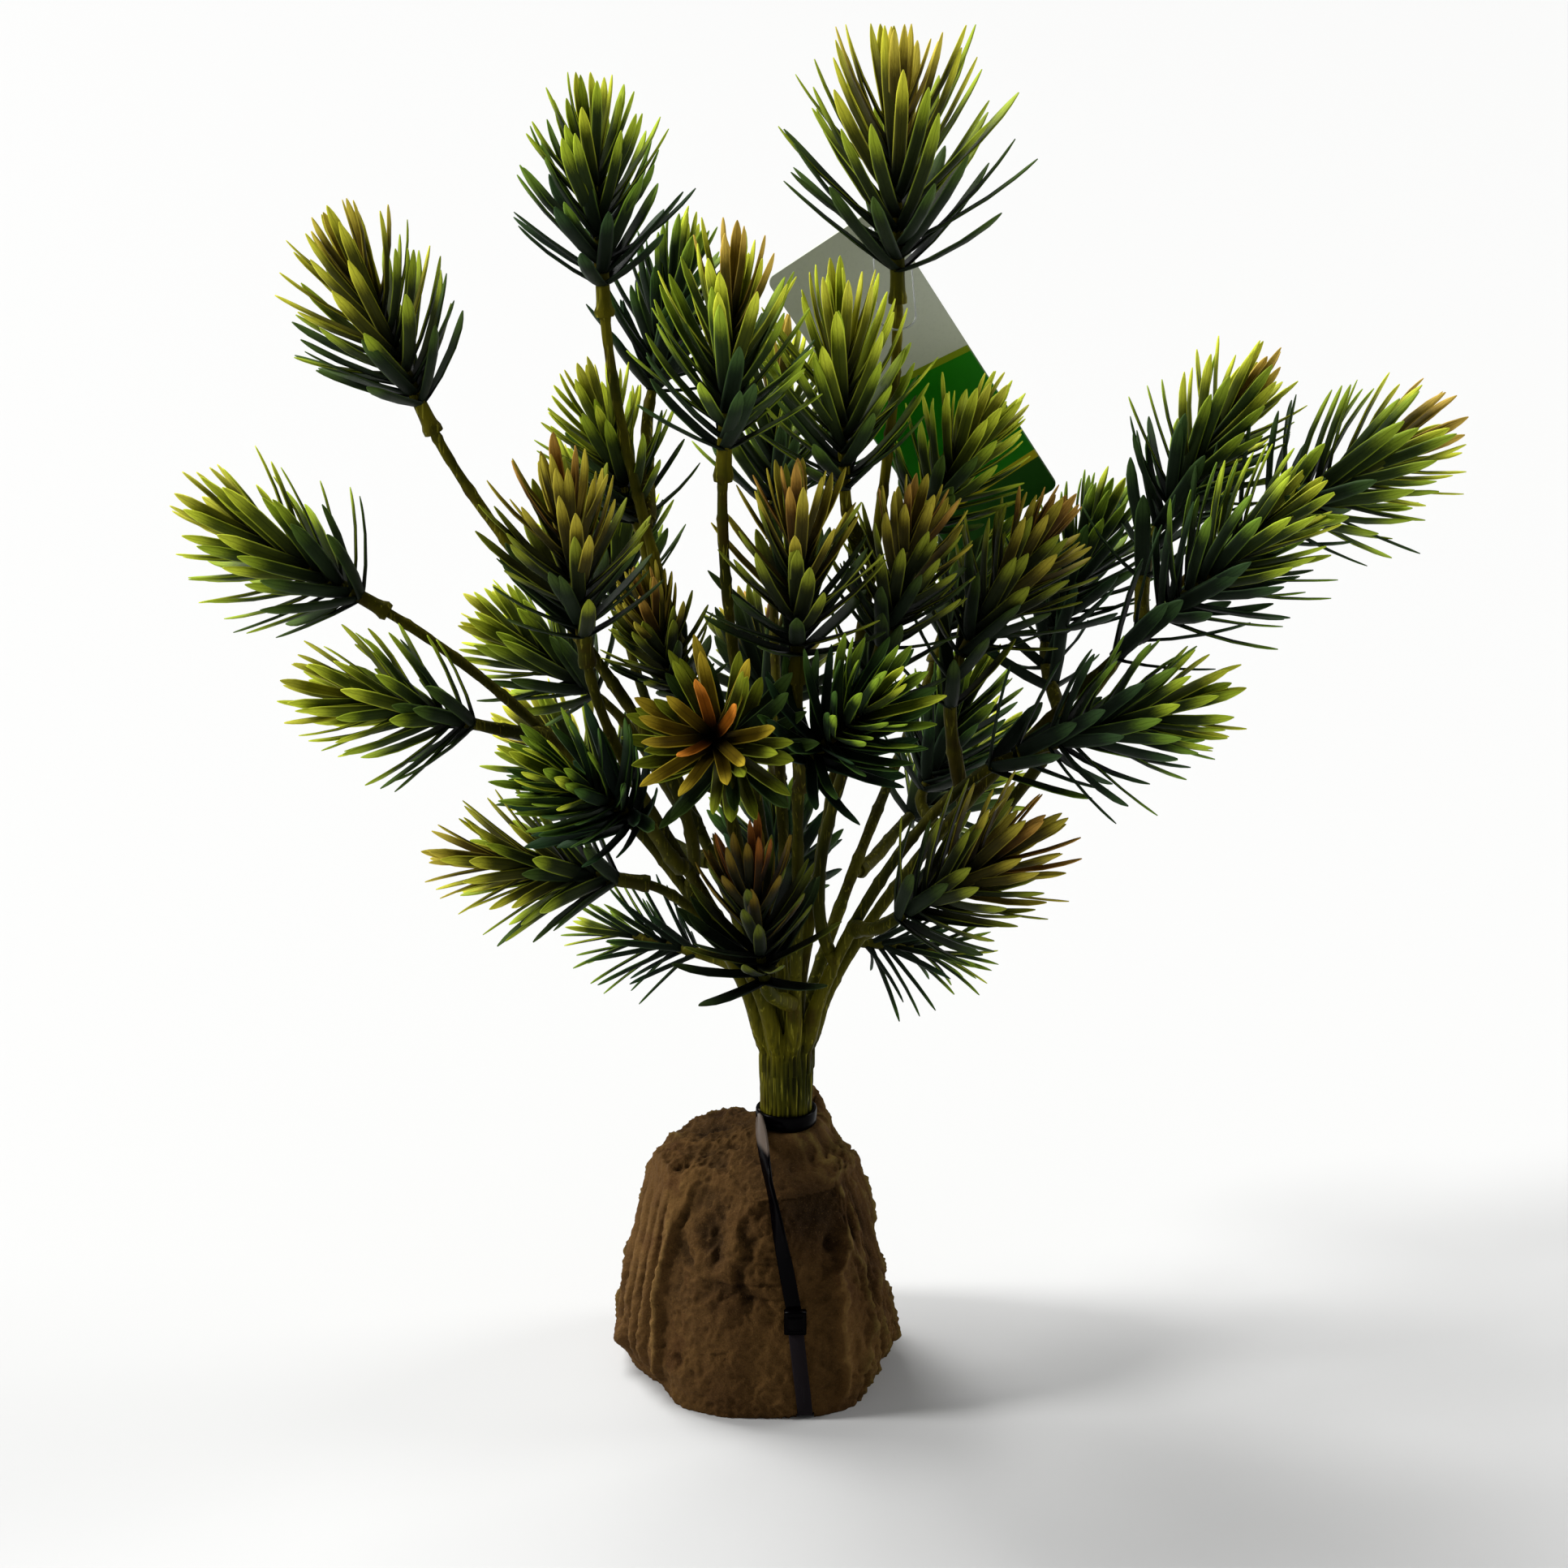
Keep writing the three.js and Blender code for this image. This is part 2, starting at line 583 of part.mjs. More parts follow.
// A long ring of clear thread, round the bough at one end and through the tag's hole at the other.
function tagLoop() {
  const geometry = new THREE.TorusGeometry(loop.halfWidth, loop.radius, 4, 16);
  const way = loopBack.clone().sub(loopFront);
  const reach = way.length() + loop.beyond;
  way.normalize();
  const across = rightward.clone().addScaledVector(way, -way.x).normalize();
  const { position } = geometry.attributes;
  for (let i = 0; i < position.count; i += 1) {
    const beyond = position.getX(i) > 0 ? reach / 2 : -reach / 2;
    position.setX(i, position.getX(i) + beyond);
  }
  const basis = new THREE.Matrix4().makeBasis(way, across, way.clone().cross(across));
  const middle = loopFront.clone().addScaledVector(way, reach / 2 + loop.snug);
  geometry.applyMatrix4(basis.setPosition(middle));
  return welded(geometry);
}

// Foliage

// Shortest way between two segments.
function segmentGap(a, b, c, d) {
  const [u, v, w] = [b.clone().sub(a), d.clone().sub(c), a.clone().sub(c)];
  const [uu, uv, vv, uw, vw] = [u.dot(u), u.dot(v), v.dot(v), u.dot(w), v.dot(w)];
  const across = uu * vv - uv * uv;
  const clamp = (value) => THREE.MathUtils.clamp(value, 0, 1);
  const first = across > 1e-9 ? clamp((uv * vw - vv * uw) / across) : 0.5;
  const second = clamp((uv * first + vw) / vv);
  const again = clamp((uv * second - uw) / uu);
  return w.addScaledVector(u, again).addScaledVector(v, -second).length();
}

// Everything that a leaf keeps clear of: bars between two points, each with its owner.
const claimed = [];

function claimCurve(owner, curve, radius, steps) {
  for (let i = 0; i < steps; i += 1) {
    const [from, to] = [curve.getPointAt(i / steps), curve.getPointAt((i + 1) / steps)];
    claimed.push({ owner, from, to, radius });
  }
}

function claimTag() {
  const lines = 10;
  const spacing = tag.width / lines;
  for (let i = 0; i <= lines; i += 1) {
    const [from, to] = [onTag(0, i * spacing), onTag(tag.length, i * spacing)];
    claimed.push({ owner: 'tag', from, to, radius: 0.9 });
  }
  claimed.push({ owner: 'loop', from: loopFront, to: loopBack, radius: loop.halfWidth + 1 });
}

for (const [name, curve] of boughCurves) {
  claimCurve(`bough ${name}`, curve, bough.footRadius + 0.2, 16);
}
stemPaths.forEach((path, i) => claimCurve(sprays[i].name, path, stem.radius, 10));
claimTag();
claimed.push({
  owner: 'trunk',
  from: new THREE.Vector3(trunk.x, 0, trunk.foot),
  to: new THREE.Vector3(trunk.x, 0, trunk.top),
  radius: trunk.radius + 1,
});

// One leaf: a flat blade with a keel on its upper face, pointed at its root and its tip.
function blade(root, way, wide, length) {
  const face = wide.clone().cross(way);
  const middle = root.clone().addScaledVector(way, length * leaf.widest);
  middle.addScaledVector(face, -leaf.curl * 0.3);
  const corners = [
    root,
    middle.clone().addScaledVector(wide, leaf.width / 2),
    middle.clone().addScaledVector(wide, -leaf.width / 2),
    middle.clone().addScaledVector(face, leaf.thick),
    root.clone().addScaledVector(way, length).addScaledVector(face, leaf.curl),
  ];
  const [foot, left, right, keel, tip] = [0, 1, 2, 3, 4];
  const geometry = new THREE.BufferGeometry().setFromPoints(corners);
  geometry.setIndex([
    foot, left, keel, foot, keel, right, foot, right, left,
    left, tip, keel, keel, tip, right, right, tip, left,
  ]);
  return geometry;
}

// The leaves of one spray that stay clear of the limbs, the tag and the leaves of the others.
function sprayLeaves(entry, seed) {
  const random = seeded(seed);
  const jitter = (range) => (random() * 2 - 1) * range;
  const { broad = 1 } = entry;
  const axis = heading(entry.turn, entry.rise);
  const side = axis.clone().cross(Math.abs(axis.z) > 0.95 ? rightward : up).normalize();
  const other = axis.clone().cross(side);
  const leaves = [];
  whorls.forEach((whorl, row) => {
    const along = spray.stalk * entry.size * whorl.at;
    const root = new THREE.Vector3(...entry.foot).addScaledVector(axis, along);
    const phase = row * 2.1 + jitter(0.4);
    for (let k = 0; k < whorl.leaves; k += 1) {
      const around = phase + 2 * Math.PI * k / whorl.leaves + jitter(0.16);
      const open = THREE.MathUtils.degToRad(whorl.open + jitter(5));
      const length = whorl.length * entry.size * (row < 4 ? broad : 1) * (1 + jitter(0.07));
      const out = side.clone().multiplyScalar(Math.cos(around)).addScaledVector(other, Math.sin(around));
      const way = axis.clone().multiplyScalar(Math.cos(open)).addScaledVector(out, Math.sin(open));
      const wide = out.clone().cross(axis);
      const from = root.clone().addScaledVector(way, 2);
      const to = root.clone().addScaledVector(way, length);
      const radius = leaf.width * 0.42;
      const blocked = claimed.some((bar) => bar.owner !== entry.name
        && segmentGap(from, to, bar.from, bar.to) < radius + bar.radius + leaf.apart);
      if (!blocked) {
        claimed.push({ owner: entry.name, from, to, radius });
        leaves.push(blade(root, way, wide, length));
      }
    }
  });
  return leaves;
}

function sprayBody(entry, index) {
  const stemRadius = (along) => THREE.MathUtils.lerp(stem.radius, stem.tipRadius, along);
  const stalk = limb(stemPaths[index], stemRadius, stem.sides, stem.steps);
  return fuse([stalk, ...sprayLeaves(entry, index + 11)]);
}

// Assembly

const finishes = {
  rock: { color: '#4d3f29', roughness: 0.95, metalness: 0 },
  bark: { color: '#4f5a22', roughness: 0.7, metalness: 0 },
  leaf: { color: '#33502a', roughness: 0.5, metalness: 0 },
  tie: { color: '#0c0c0d', roughness: 0.3, metalness: 0 },
  card: { color: '#c9cfca', roughness: 0.5, metalness: 0 },
  thread: { color: '#d9dcd6', roughness: 0.2, metalness: 0 },
};

const group = new THREE.Group();

function place(name, geometry, finish) {
  const mesh = new THREE.Mesh(geometry, new THREE.MeshStandardMaterial(finishes[finish]));
  mesh.name = name;
  group.add(mesh);
}

place('rock_base', rockBase(), 'rock');
place('trunk', trunkBody(), 'bark');
place('tie_band', bandRing(), 'tie');
place('tie_upper_strap', ribbon(upperStrapPath, strap.width, strap.thick), 'tie');
place('tie_head', strapHead(), 'tie');
place('tie_lower_strap', ribbon(lowerStrapPath, strap.width, strap.thick), 'tie');
place('tag_card', tagCard(), 'card');
place('tag_loop', tagLoop(), 'thread');
boughs.forEach(({ name }) => place(`bough_${name}`, boughBody(name), 'bark'));
sprays.forEach((entry, index) => place(`spray_${entry.name}`, sprayBody(entry, index), 'leaf'));

export default group;
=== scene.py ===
import math
import random

import bmesh
import bpy
import numpy as np
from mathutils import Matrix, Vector, noise
from mathutils.bvhtree import BVHTree


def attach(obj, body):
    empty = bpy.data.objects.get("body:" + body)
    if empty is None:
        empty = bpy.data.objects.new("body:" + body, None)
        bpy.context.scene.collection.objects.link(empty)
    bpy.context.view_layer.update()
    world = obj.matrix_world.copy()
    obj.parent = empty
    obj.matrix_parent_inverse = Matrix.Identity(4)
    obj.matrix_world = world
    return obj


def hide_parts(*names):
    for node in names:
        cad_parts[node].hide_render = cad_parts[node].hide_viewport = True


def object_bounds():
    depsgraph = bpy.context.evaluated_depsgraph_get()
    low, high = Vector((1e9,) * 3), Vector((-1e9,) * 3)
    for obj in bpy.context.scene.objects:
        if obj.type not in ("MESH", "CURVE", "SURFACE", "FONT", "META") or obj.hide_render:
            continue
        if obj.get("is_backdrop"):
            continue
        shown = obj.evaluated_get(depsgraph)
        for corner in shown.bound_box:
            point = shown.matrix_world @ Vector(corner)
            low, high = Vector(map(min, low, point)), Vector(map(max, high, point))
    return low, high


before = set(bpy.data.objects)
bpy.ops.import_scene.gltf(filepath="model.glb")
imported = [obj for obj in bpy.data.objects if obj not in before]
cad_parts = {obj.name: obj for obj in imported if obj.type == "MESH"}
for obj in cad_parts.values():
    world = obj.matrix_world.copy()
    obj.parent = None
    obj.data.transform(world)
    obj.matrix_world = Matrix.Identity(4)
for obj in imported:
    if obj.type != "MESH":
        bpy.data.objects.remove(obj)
cadLow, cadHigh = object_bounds()
noise.seed_set(5)  # a noise vector without a seed changes from run to run

# The plan of the plant is in millimetres, as its driving sizes are. Meshes are made in metres.
mm = 0.001


# Small maths

def lerp(start, end, share):
    return start + (end - start) * share


def unit(vector):
    return np.asarray(vector, float) / np.linalg.norm(vector)


def heading(turn, rise):  # degrees from +X towards the back, and up from level
    around, lift = math.radians(turn), math.radians(rise)
    return np.array([math.cos(around) * math.cos(lift), math.sin(around) * math.cos(lift), math.sin(lift)])


def bell(offset, width):
    return math.exp(-(offset / width) ** 2)


def easeBetween(low, high, value):
    share = min(1, max(0, (value - low) / (high - low)))
    return share * share * (3 - 2 * share)


class Route:  # a dense line that is read by the share of its length
    def __init__(self, points):
        self.points = np.array(points, float)
        steps = np.linalg.norm(np.diff(self.points, axis=0), axis=1)
        self.lengths = np.concatenate([[0], np.cumsum(steps)])
        self.length = self.lengths[-1]

    def at(self, share):
        along = np.clip(share, 0, 1) * self.length
        return np.array([np.interp(along, self.lengths, self.points[:, axis]) for axis in range(3)]).T

    def way(self, share):
        return unit(self.at(min(1, share + 0.004)) - self.at(max(0, share - 0.004)))


def sweep(start, leave, end, arrive, sway):  # starts one way and ends another
    handle = np.linalg.norm(end - start) * sway
    corners = [start, start + leave * handle, end - arrive * handle, end]
    shares = np.linspace(0, 1, 120)[:, None]
    weights = [(1 - shares) ** 3, 3 * shares * (1 - shares) ** 2, 3 * shares ** 2 * (1 - shares), shares ** 3]
    return Route(sum(weight * corner for weight, corner in zip(weights, corners)))


# Meshes

def toMesh(name, points, faces, edges=()):
    mesh = bpy.data.meshes.new(name)
    mesh.from_pydata([tuple(p) for p in np.asarray(points, float) * mm], list(edges), list(faces))
    mesh.update()
    return mesh


def toObject(name, mesh):
    made = bpy.data.objects.new(name, mesh)
    bpy.context.scene.collection.objects.link(made)
    return made


def faceOutwards(mesh):
    work = bmesh.new()
    work.from_mesh(mesh)
    bmesh.ops.recalc_face_normals(work, faces=work.faces)
    if work.calc_volume(signed=True) < 0:
        bmesh.ops.reverse_faces(work, faces=work.faces)
    work.to_mesh(mesh)
    work.free()


def keepWork(work, name):  # what was edited, as a mesh
    mesh = bpy.data.meshes.new(name)
    work.to_mesh(mesh)
    work.free()
    return mesh


def plain(made):  # the object with its modifiers taken up into its mesh
    graph = bpy.context.evaluated_depsgraph_get()
    mesh = bpy.data.meshes.new_from_object(made.evaluated_get(graph))
    old = made.data
    made.modifiers.clear()
    made.data = mesh
    bpy.data.meshes.remove(old)
    return made


def smooth(mesh):
    mesh.polygons.foreach_set("use_smooth", [True] * len(mesh.polygons))
    mesh.update()


def finished(name, mesh, finish):  # a coated object with its faces outwards
    mesh.materials.append(finish)
    faceOutwards(mesh)
    smooth(mesh)
    return toObject(name, mesh)


def rowFaces(rows, count):  # the quads between closed rows of points
    return [(low + k, low + (k + 1) % count, low + count + (k + 1) % count, low + count + k)
            for low in range(0, (rows - 1) * count, count) for k in range(count)]


def addLayer(mesh, name, values):  # numbers or vectors, one for each point
    values = np.asarray(values, np.float32)
    kind, key = ("FLOAT", "value") if values.ndim == 1 else ("FLOAT_VECTOR", "vector")
    mesh.attributes.new(name, kind, "POINT").data.foreach_set(key, values.ravel())


def addPiece(made, slot, *replaced):  # takes the place of the solids that are named
    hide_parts(*replaced)
    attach(made, "root")
    print(made.name, len(made.data.polygons), "faces")

# Node trees, for shaders and for geometry

class Value:  # a socket that can be written in sums
    def __init__(self, maker, socket, isVector=False):
        self.maker = maker
        self.socket = socket
        self.isVector = isVector

    def __add__(self, other):
        return self.maker.math("ADD", self, other)

    def __radd__(self, other):
        return self.maker.math("ADD", other, self)

    def __sub__(self, other):
        return self.maker.math("SUBTRACT", self, other)

    def __rsub__(self, other):
        return self.maker.math("SUBTRACT", other, self)

    def __mul__(self, other):
        return self.maker.math("MULTIPLY", self, other)

    def __rmul__(self, other):
        return self.maker.math("MULTIPLY", other, self)

    def __truediv__(self, other):
        return self.maker.math("DIVIDE", self, other)

    def __rtruediv__(self, other):
        return self.maker.math("DIVIDE", other, self)


class Maker:  # adds nodes to one tree
    def __init__(self, tree):
        self.tree = tree

    def put(self, socket, value):
        if isinstance(value, Value):
            self.tree.links.new(value.socket, socket)
        elif value is not None:
            isTone = socket.type == "RGBA" and len(value) == 3
            socket.default_value = (*value, 1) if isTone else value

    def node(self, kind, settings=None, **inputs):
        made = self.tree.nodes.new(kind)
        for key, value in (settings or {}).items():
            if key == "stops":
                self.setStops(made.color_ramp, value)
            else:
                setattr(made, key, value)
        for key, value in inputs.items():
            wanted = key.replace("_", " ")
            self.put(next(s for s in made.inputs if s.enabled and s.name == wanted), value)
        return made

    def setStops(self, ramp, stops):
        ramp.interpolation = "CONSTANT"
        while len(ramp.elements) < len(stops):
            ramp.elements.new(1)
        for element, (place, colour) in zip(ramp.elements, stops):
            element.position = place
            element.color = (*colour, 1)

    def math(self, operation, *terms):
        isVector = any(isinstance(term, Value) and term.isVector for term in terms)
        if isVector and operation == "MULTIPLY":
            vector, scale = sorted(terms, key=lambda term: not getattr(term, "isVector", False))
            made = self.node("ShaderNodeVectorMath", {"operation": "SCALE"}, Scale=scale)
            terms = [vector]
        else:
            kind = "ShaderNodeVectorMath" if isVector else "ShaderNodeMath"
            made = self.node(kind, {"operation": operation})
        for socket, term in zip(made.inputs, terms):
            self.put(socket, term)
        return Value(self, made.outputs[0], isVector)

    def sine(self, value):
        return self.math("SINE", value)

    def cosine(self, value):
        return self.math("COSINE", value)

    def over(self, value, limit):
        return self.math("GREATER_THAN", value, limit)

    def parts(self, vector):  # its X, Y and Z
        made = self.node("ShaderNodeSeparateXYZ", None, Vector=vector)
        return [Value(self, socket) for socket in made.outputs]

    def vector(self, **numbers):
        return Value(self, self.node("ShaderNodeCombineXYZ", None, **numbers).outputs[0], True)

    def ease(self, value, low, high):
        settings = {"interpolation_type": "SMOOTHSTEP"}
        made = self.node("ShaderNodeMapRange", settings, Value=value, From_Min=low, From_Max=high)
        return Value(self, made.outputs[0])

    def mix(self, factor, first, second):  # of colours
        made = self.node("ShaderNodeMix", {"data_type": "RGBA"}, Factor=factor, A=first, B=second)
        return Value(self, next(s for s in made.outputs if s.enabled))

    def coats(self, base, *layers):  # each layer is a share and a colour, laid over what is there
        for share, colour in layers:
            base = self.mix(share, base, colour)
        return base

    def ramp(self, value, stops):
        return Value(self, self.node("ShaderNodeValToRGB", {"stops": stops}, Fac=value).outputs["Color"])

    def noise(self, vector, scale, detail=3, roughness=0.5):
        inputs = {"Vector": vector, "Scale": scale, "Detail": detail, "Roughness": roughness}
        return Value(self, self.node("ShaderNodeTexNoise", None, **inputs).outputs[0])


class Finish(Maker):  # a material of the object
    def __init__(self, name):
        self.material = bpy.data.materials.new(name)
        self.material.use_nodes = True
        super().__init__(self.material.node_tree)
        self.tree.nodes.clear()
        self.shader = self.node("ShaderNodeBsdfPrincipled")
        output = self.node("ShaderNodeOutputMaterial")
        self.tree.links.new(self.shader.outputs[0], output.inputs["Surface"])

    def place(self, stretch=(1, 1, 1)):
        mapping = self.node("ShaderNodeMapping", None, Scale=stretch)
        self.tree.links.new(self.node("ShaderNodeTexCoord").outputs["Object"], mapping.inputs["Vector"])
        return Value(self, mapping.outputs[0], True)

    def chart(self):  # across and along the piece's own UV map
        made = self.node("ShaderNodeUVMap", {"uv_map": "OFBake"})
        return self.parts(Value(self, made.outputs[0], True))[:2]

    def layer(self, name):  # numbers that addLayer stored
        return Value(self, self.node("ShaderNodeAttribute", {"attribute_name": name}).outputs["Fac"])

    def close(self, colour, roughness, gloss=0.5, relief=None, strength=0, depth=0):
        for label, value in (("Base Color", colour), ("Roughness", roughness), ("Specular IOR Level", gloss)):
            self.put(self.shader.inputs[label], value)
        if relief:
            made = self.node("ShaderNodeBump", None, Height=relief, Strength=strength, Distance=depth)
            self.tree.links.new(made.outputs[0], self.shader.inputs["Normal"])
        return self.material


def paint(red, green, blue):  # a colour read off a screen, 0 to 255, as a light value
    values = [channel / 255 for channel in (red, green, blue)]
    return tuple(v / 12.92 if v <= 0.04045 else ((v + 0.055) / 1.055) ** 2.4 for v in values)


def startTree(name, extraInputs):
    tree = bpy.data.node_groups.new(name, "GeometryNodeTree")
    tree.interface.new_socket("Geometry", in_out="INPUT", socket_type="NodeSocketGeometry")
    tree.interface.new_socket("Geometry", in_out="OUTPUT", socket_type="NodeSocketGeometry")
    identifiers = {}
    for label, kind in extraInputs:
        socket = tree.interface.new_socket(label, in_out="INPUT", socket_type=kind)
        identifiers[label] = socket.identifier
    maker = Maker(tree)
    entry = maker.node("NodeGroupInput")
    return tree, identifiers, maker, entry


def runTree(made, tree, identifiers, values):  # grows the geometry and keeps it as a plain mesh
    modifier = made.modifiers.new(tree.name, "NODES")
    modifier.node_group = tree
    for label, value in values.items():
        modifier[identifiers[label]] = value
    return plain(made)


def attribute(maker, name, kind="FLOAT"):
    made = maker.node("GeometryNodeInputNamedAttribute", {"data_type": kind}, Name=name)
    return Value(maker, next(s for s in made.outputs if s.enabled), kind == "FLOAT_VECTOR")


def linkChain(maker, first, *chain):  # passes geometry through the nodes in turn
    flow = first
    for made in chain:
        maker.tree.links.new(flow, next(s for s in made.inputs if s.type == "GEOMETRY"))
        flow = next((s for s in made.outputs if s.type == "GEOMETRY"), None)
    return flow


# The plan: boughs, stems and sprays, placed by the same rule as the solids

rock = {
    "halfWidth": 32,
    "halfDepth": 31,
    "shoulder": 52,
    "crest": 60.2,
    "taper": 0.27,
    "squareness": 2.15,
    "horn": (14.5, 10, 12, 5),  # place, height and spread
    "spur": (-4, 0.17, 10, 6, 2.4),  # turn, spread, height, how tall, reach
    "tuck": (9, 1.5),
    "lobes": [(2, 2.1, 3.4, 0), (5, 1.2, 6, 0.05)],
    "ledge": (0.6, 6, 2),
}

trunk = {"x": 6.7, "foot": 57.3, "top": 81, "radius": 5.5, "socket": 3}

band = {"foot": 59.9, "height": 3.5, "thick": 0.9, "inner": 6.06}

bough = {
    "outerRing": 4.15,
    "innerRing": 1.55,
    "lean": 0.3,
    "sway": 0.28,
    "footRadius": 1.22,
    "tipRadius": 0.95,
}

stem = {
    "sway": 0.34,
    "stalk": 27,
    "lead": 4,
    "nub": 1.7,
    "clearance": 0.3,
    "openStalk": {"facing": 0.6},  # the share of the stalk that an open rosette has
}

boughSeats = {  # ring and turn at the fork, or the bough that carries it and where
    "right_low": ("outer", -35), "right_far": ("outer", 5), "back_right": ("outer", 45),
    "back_high": ("outer", 85), "back_left": ("outer", 125), "left_low": ("outer", 165),
    "left_front": ("outer", 205), "front_left": ("outer", 245), "centre_front": ("outer", 285),
    "centre_left": ("inner", 150), "centre_top": ("inner", 30), "front_high": ("inner", 270),
    "left_high": ("left_low", 0.3), "right_wide": ("right_far", 0.24), "right_mid": ("right_low", 0.26),
}

# foot in mm, turn, rise, size, tint, and for a side spray its bough and where it sits on it
sprays = {
    "left_high": ((-70, -8, 225), 198, 66, 1.05, "olive", None, 0),
    "left_low": ((-85, 0, 182), 177, 30, 1.05, "lime", None, 0),
    "left_mid": ((-60, -12, 157), 192, 16, 0.97, "lime", "left_low", 0.66),
    "front_left": ((-35, -34, 181), 240, 78, 0.98, "amber", None, 0),
    "centre_left": ((-32, 0, 249), 220, 86, 1, "pine", None, 0),
    "centre_rear": ((-23, 21, 224), 40, 72, 0.92, "deep", "centre_left", 0.72),
    "left_inner": ((-26, 9, 197), 190, 72, 0.86, "lime", "centre_left", 0.55),
    "front_high": ((-6, -30, 219), 300, 84, 1.06, "mixed", None, 0),
    "centre_top": ((30, -2, 252), 250, 86, 1.16, "olive", None, 0),
    "centre_upper": ((19, -14, 208), 240, 86, 1.1, "lime", "centre_top", 0.66),
    "right_inner": ((36, 6, 196), 15, 60, 0.86, "lime", "centre_top", 0.48),
    "centre_front": ((9, -28, 176), 268, 81, 0.98, "amber", None, 0),
    "right_mid": ((27, -14, 174), 350, 76, 0.9, "amber", None, 0),
    "right_bronze": ((46, -4, 173), 20, 54, 0.9, "amber", "right_far", 0.55),
    "facing": ((-5, -27, 154.5), 259, 26, 1.02, "umber", "front_high", 0.5),
    "facing_right": ((11, -27, 153), 305, 38, 0.98, "deep", "centre_front", 0.72),
    "left_back": ((-36, 17, 156), 160, 32, 0.86, "lime", "back_left", 0.5),
    "left_facing": ((-24, -30, 141), 228, 32, 0.9, "deep", "front_left", 0.5),
    "left_front": ((-29, -16, 123), 190, 12, 0.98, "olive", None, 0),
    # foot_front takes a darker copy of umber: painted shade under the crown
    "foot_front": ((2, -20, 101), 250, 70, 0.98, "dusk", "centre_front", 0.14),
    "right_front": ((30, -25, 117), 350, 36, 1, "amber", "right_low", 0.36),
    "right_low": ((62, -18, 154), 356, 19, 1, "pine", None, 0),
    "right_far": ((87, -6, 179), 357, 43, 1.08, "pine", None, 0),
    "right_wide": ((113, 14, 197), 5, 29, 1.12, "mixed", None, 0),
    "right_upper": ((91, 22, 196), 14, 57, 1, "mixed", "right_wide", 0.74),
    "right_rear": ((67, 30, 168), 30, 62, 0.9, "deep", "right_wide", 0.5),
    "right_under": ((38, 22, 132), 24, 64, 0.86, "deep", "right_wide", 0.2),
    "left_drooping": ((-13, 18, 94), 160, 8, 0.8, "deep", "back_left", 0.14),
    "right_drooping": ((24, 18, 97), 20, -14, 0.8, "deep", "back_right", 0.12),
    "left_tan": ((-17, 2, 160), 215, 70, 0.72, "amber", "centre_left", 0.36),
    "back_left": ((-32, 50, 168), 120, 66, 1.02, "lime", None, 0),
    "back_left_low": ((-34, 42, 124), 134, 22, 0.98, "olive", "back_left", 0.42),
    "back_high": ((4, 48, 192), 80, 80, 1.06, "mixed", None, 0),
    "back_facing": ((2, 44, 146), 92, 22, 1, "amber", "back_high", 0.5),
    "back_foot": ((4, 24, 106), 92, 26, 0.92, "deep", "back_high", 0.16),
    "back_right": ((44, 56, 160), 50, 60, 1, "lime", None, 0),
    "back_right_low": ((36, 42, 120), 48, 22, 0.98, "lime", "back_right", 0.42),
}


def boughRadius(share):
    return lerp(bough["footRadius"], bough["tipRadius"], share)


def sideSeat(carrier, share, target):  # the nub that a side stem plugs into
    seat, way = carrier.at(share), carrier.way(share)
    aside = target - seat
    aside = unit(aside - way * aside.dot(way))
    leave = unit(aside * 0.75 + way * 0.66)
    nubEnd = seat + leave * (boughRadius(share) + stem["nub"])
    return seat, leave, nubEnd


def planBoughs():
    routes, nubs = {}, []
    for name, (seatKind, place) in boughSeats.items():
        foot, turn, rise = sprays[name][:3]
        axis = heading(turn, rise)
        tip = np.array(foot) - axis * stem["lead"]
        if seatKind in routes:
            seat, leave, nubEnd = sideSeat(routes[seatKind], place, tip)
            nubs.append((seat, nubEnd))
            routes[name] = sweep(nubEnd + leave * stem["clearance"], leave, tip, axis, bough["sway"])
        else:
            outwards = heading(place, 0) * bough[seatKind + "Ring"]
            leave = unit(np.array([0, 0, 1]) + outwards * bough["lean"] / bough["outerRing"])
            start = outwards + np.array([trunk["x"], 0, trunk["top"] - trunk["socket"]])
            routes[name] = sweep(start, leave, tip, axis, bough["sway"])
    return routes, nubs


def planStems(routes, nubs):
    stems = {}
    for name, (foot, turn, rise, size, _, carrier, share) in sprays.items():
        axis, foot = heading(turn, rise), np.array(foot, float)
        stalkEnd = foot + axis * stem["stalk"] * size * stem["openStalk"].get(name, 1)
        start = [foot - axis * (stem["lead"] + 2), foot]
        if carrier:
            seat, leave, nubEnd = sideSeat(routes[carrier], share, foot)
            nubs.append((seat, nubEnd))
            start = sweep(nubEnd - leave, leave, foot, axis, stem["sway"]).points
        stems[name] = Route([*start, *(lerp(foot, stalkEnd, step / 20) for step in range(1, 21))])
    return stems


boughRoutes, nubBars = planBoughs()
stemRoutes = planStems(boughRoutes, nubBars)
print("plan:", len(boughRoutes), "boughs,", len(stemRoutes), "sprays")


# Bark

barkLook = {
    "olive": paint(88, 82, 10),
    "moss": paint(44, 46, 5),
    "umber": paint(52, 36, 8),
    "pale": paint(146, 140, 44),
    "groove": paint(12, 11, 2),
    "crownShade": paint(22, 24, 6),  # painted shade on the limbs inside the crown
    "grooveScale": 900,
    "streakScale": 1500,
    "shadedZone": (0.082, 0.096, 0.115, 0.15),  # metres up: from, full from, full to, to
    # metres up where the painted shade inside the crown fades in and out
    "crownShadeZone": (0.104, 0.128, 0.165, 0.19),
    "roughness": 0.6,
    "gloss": 0.03,
}


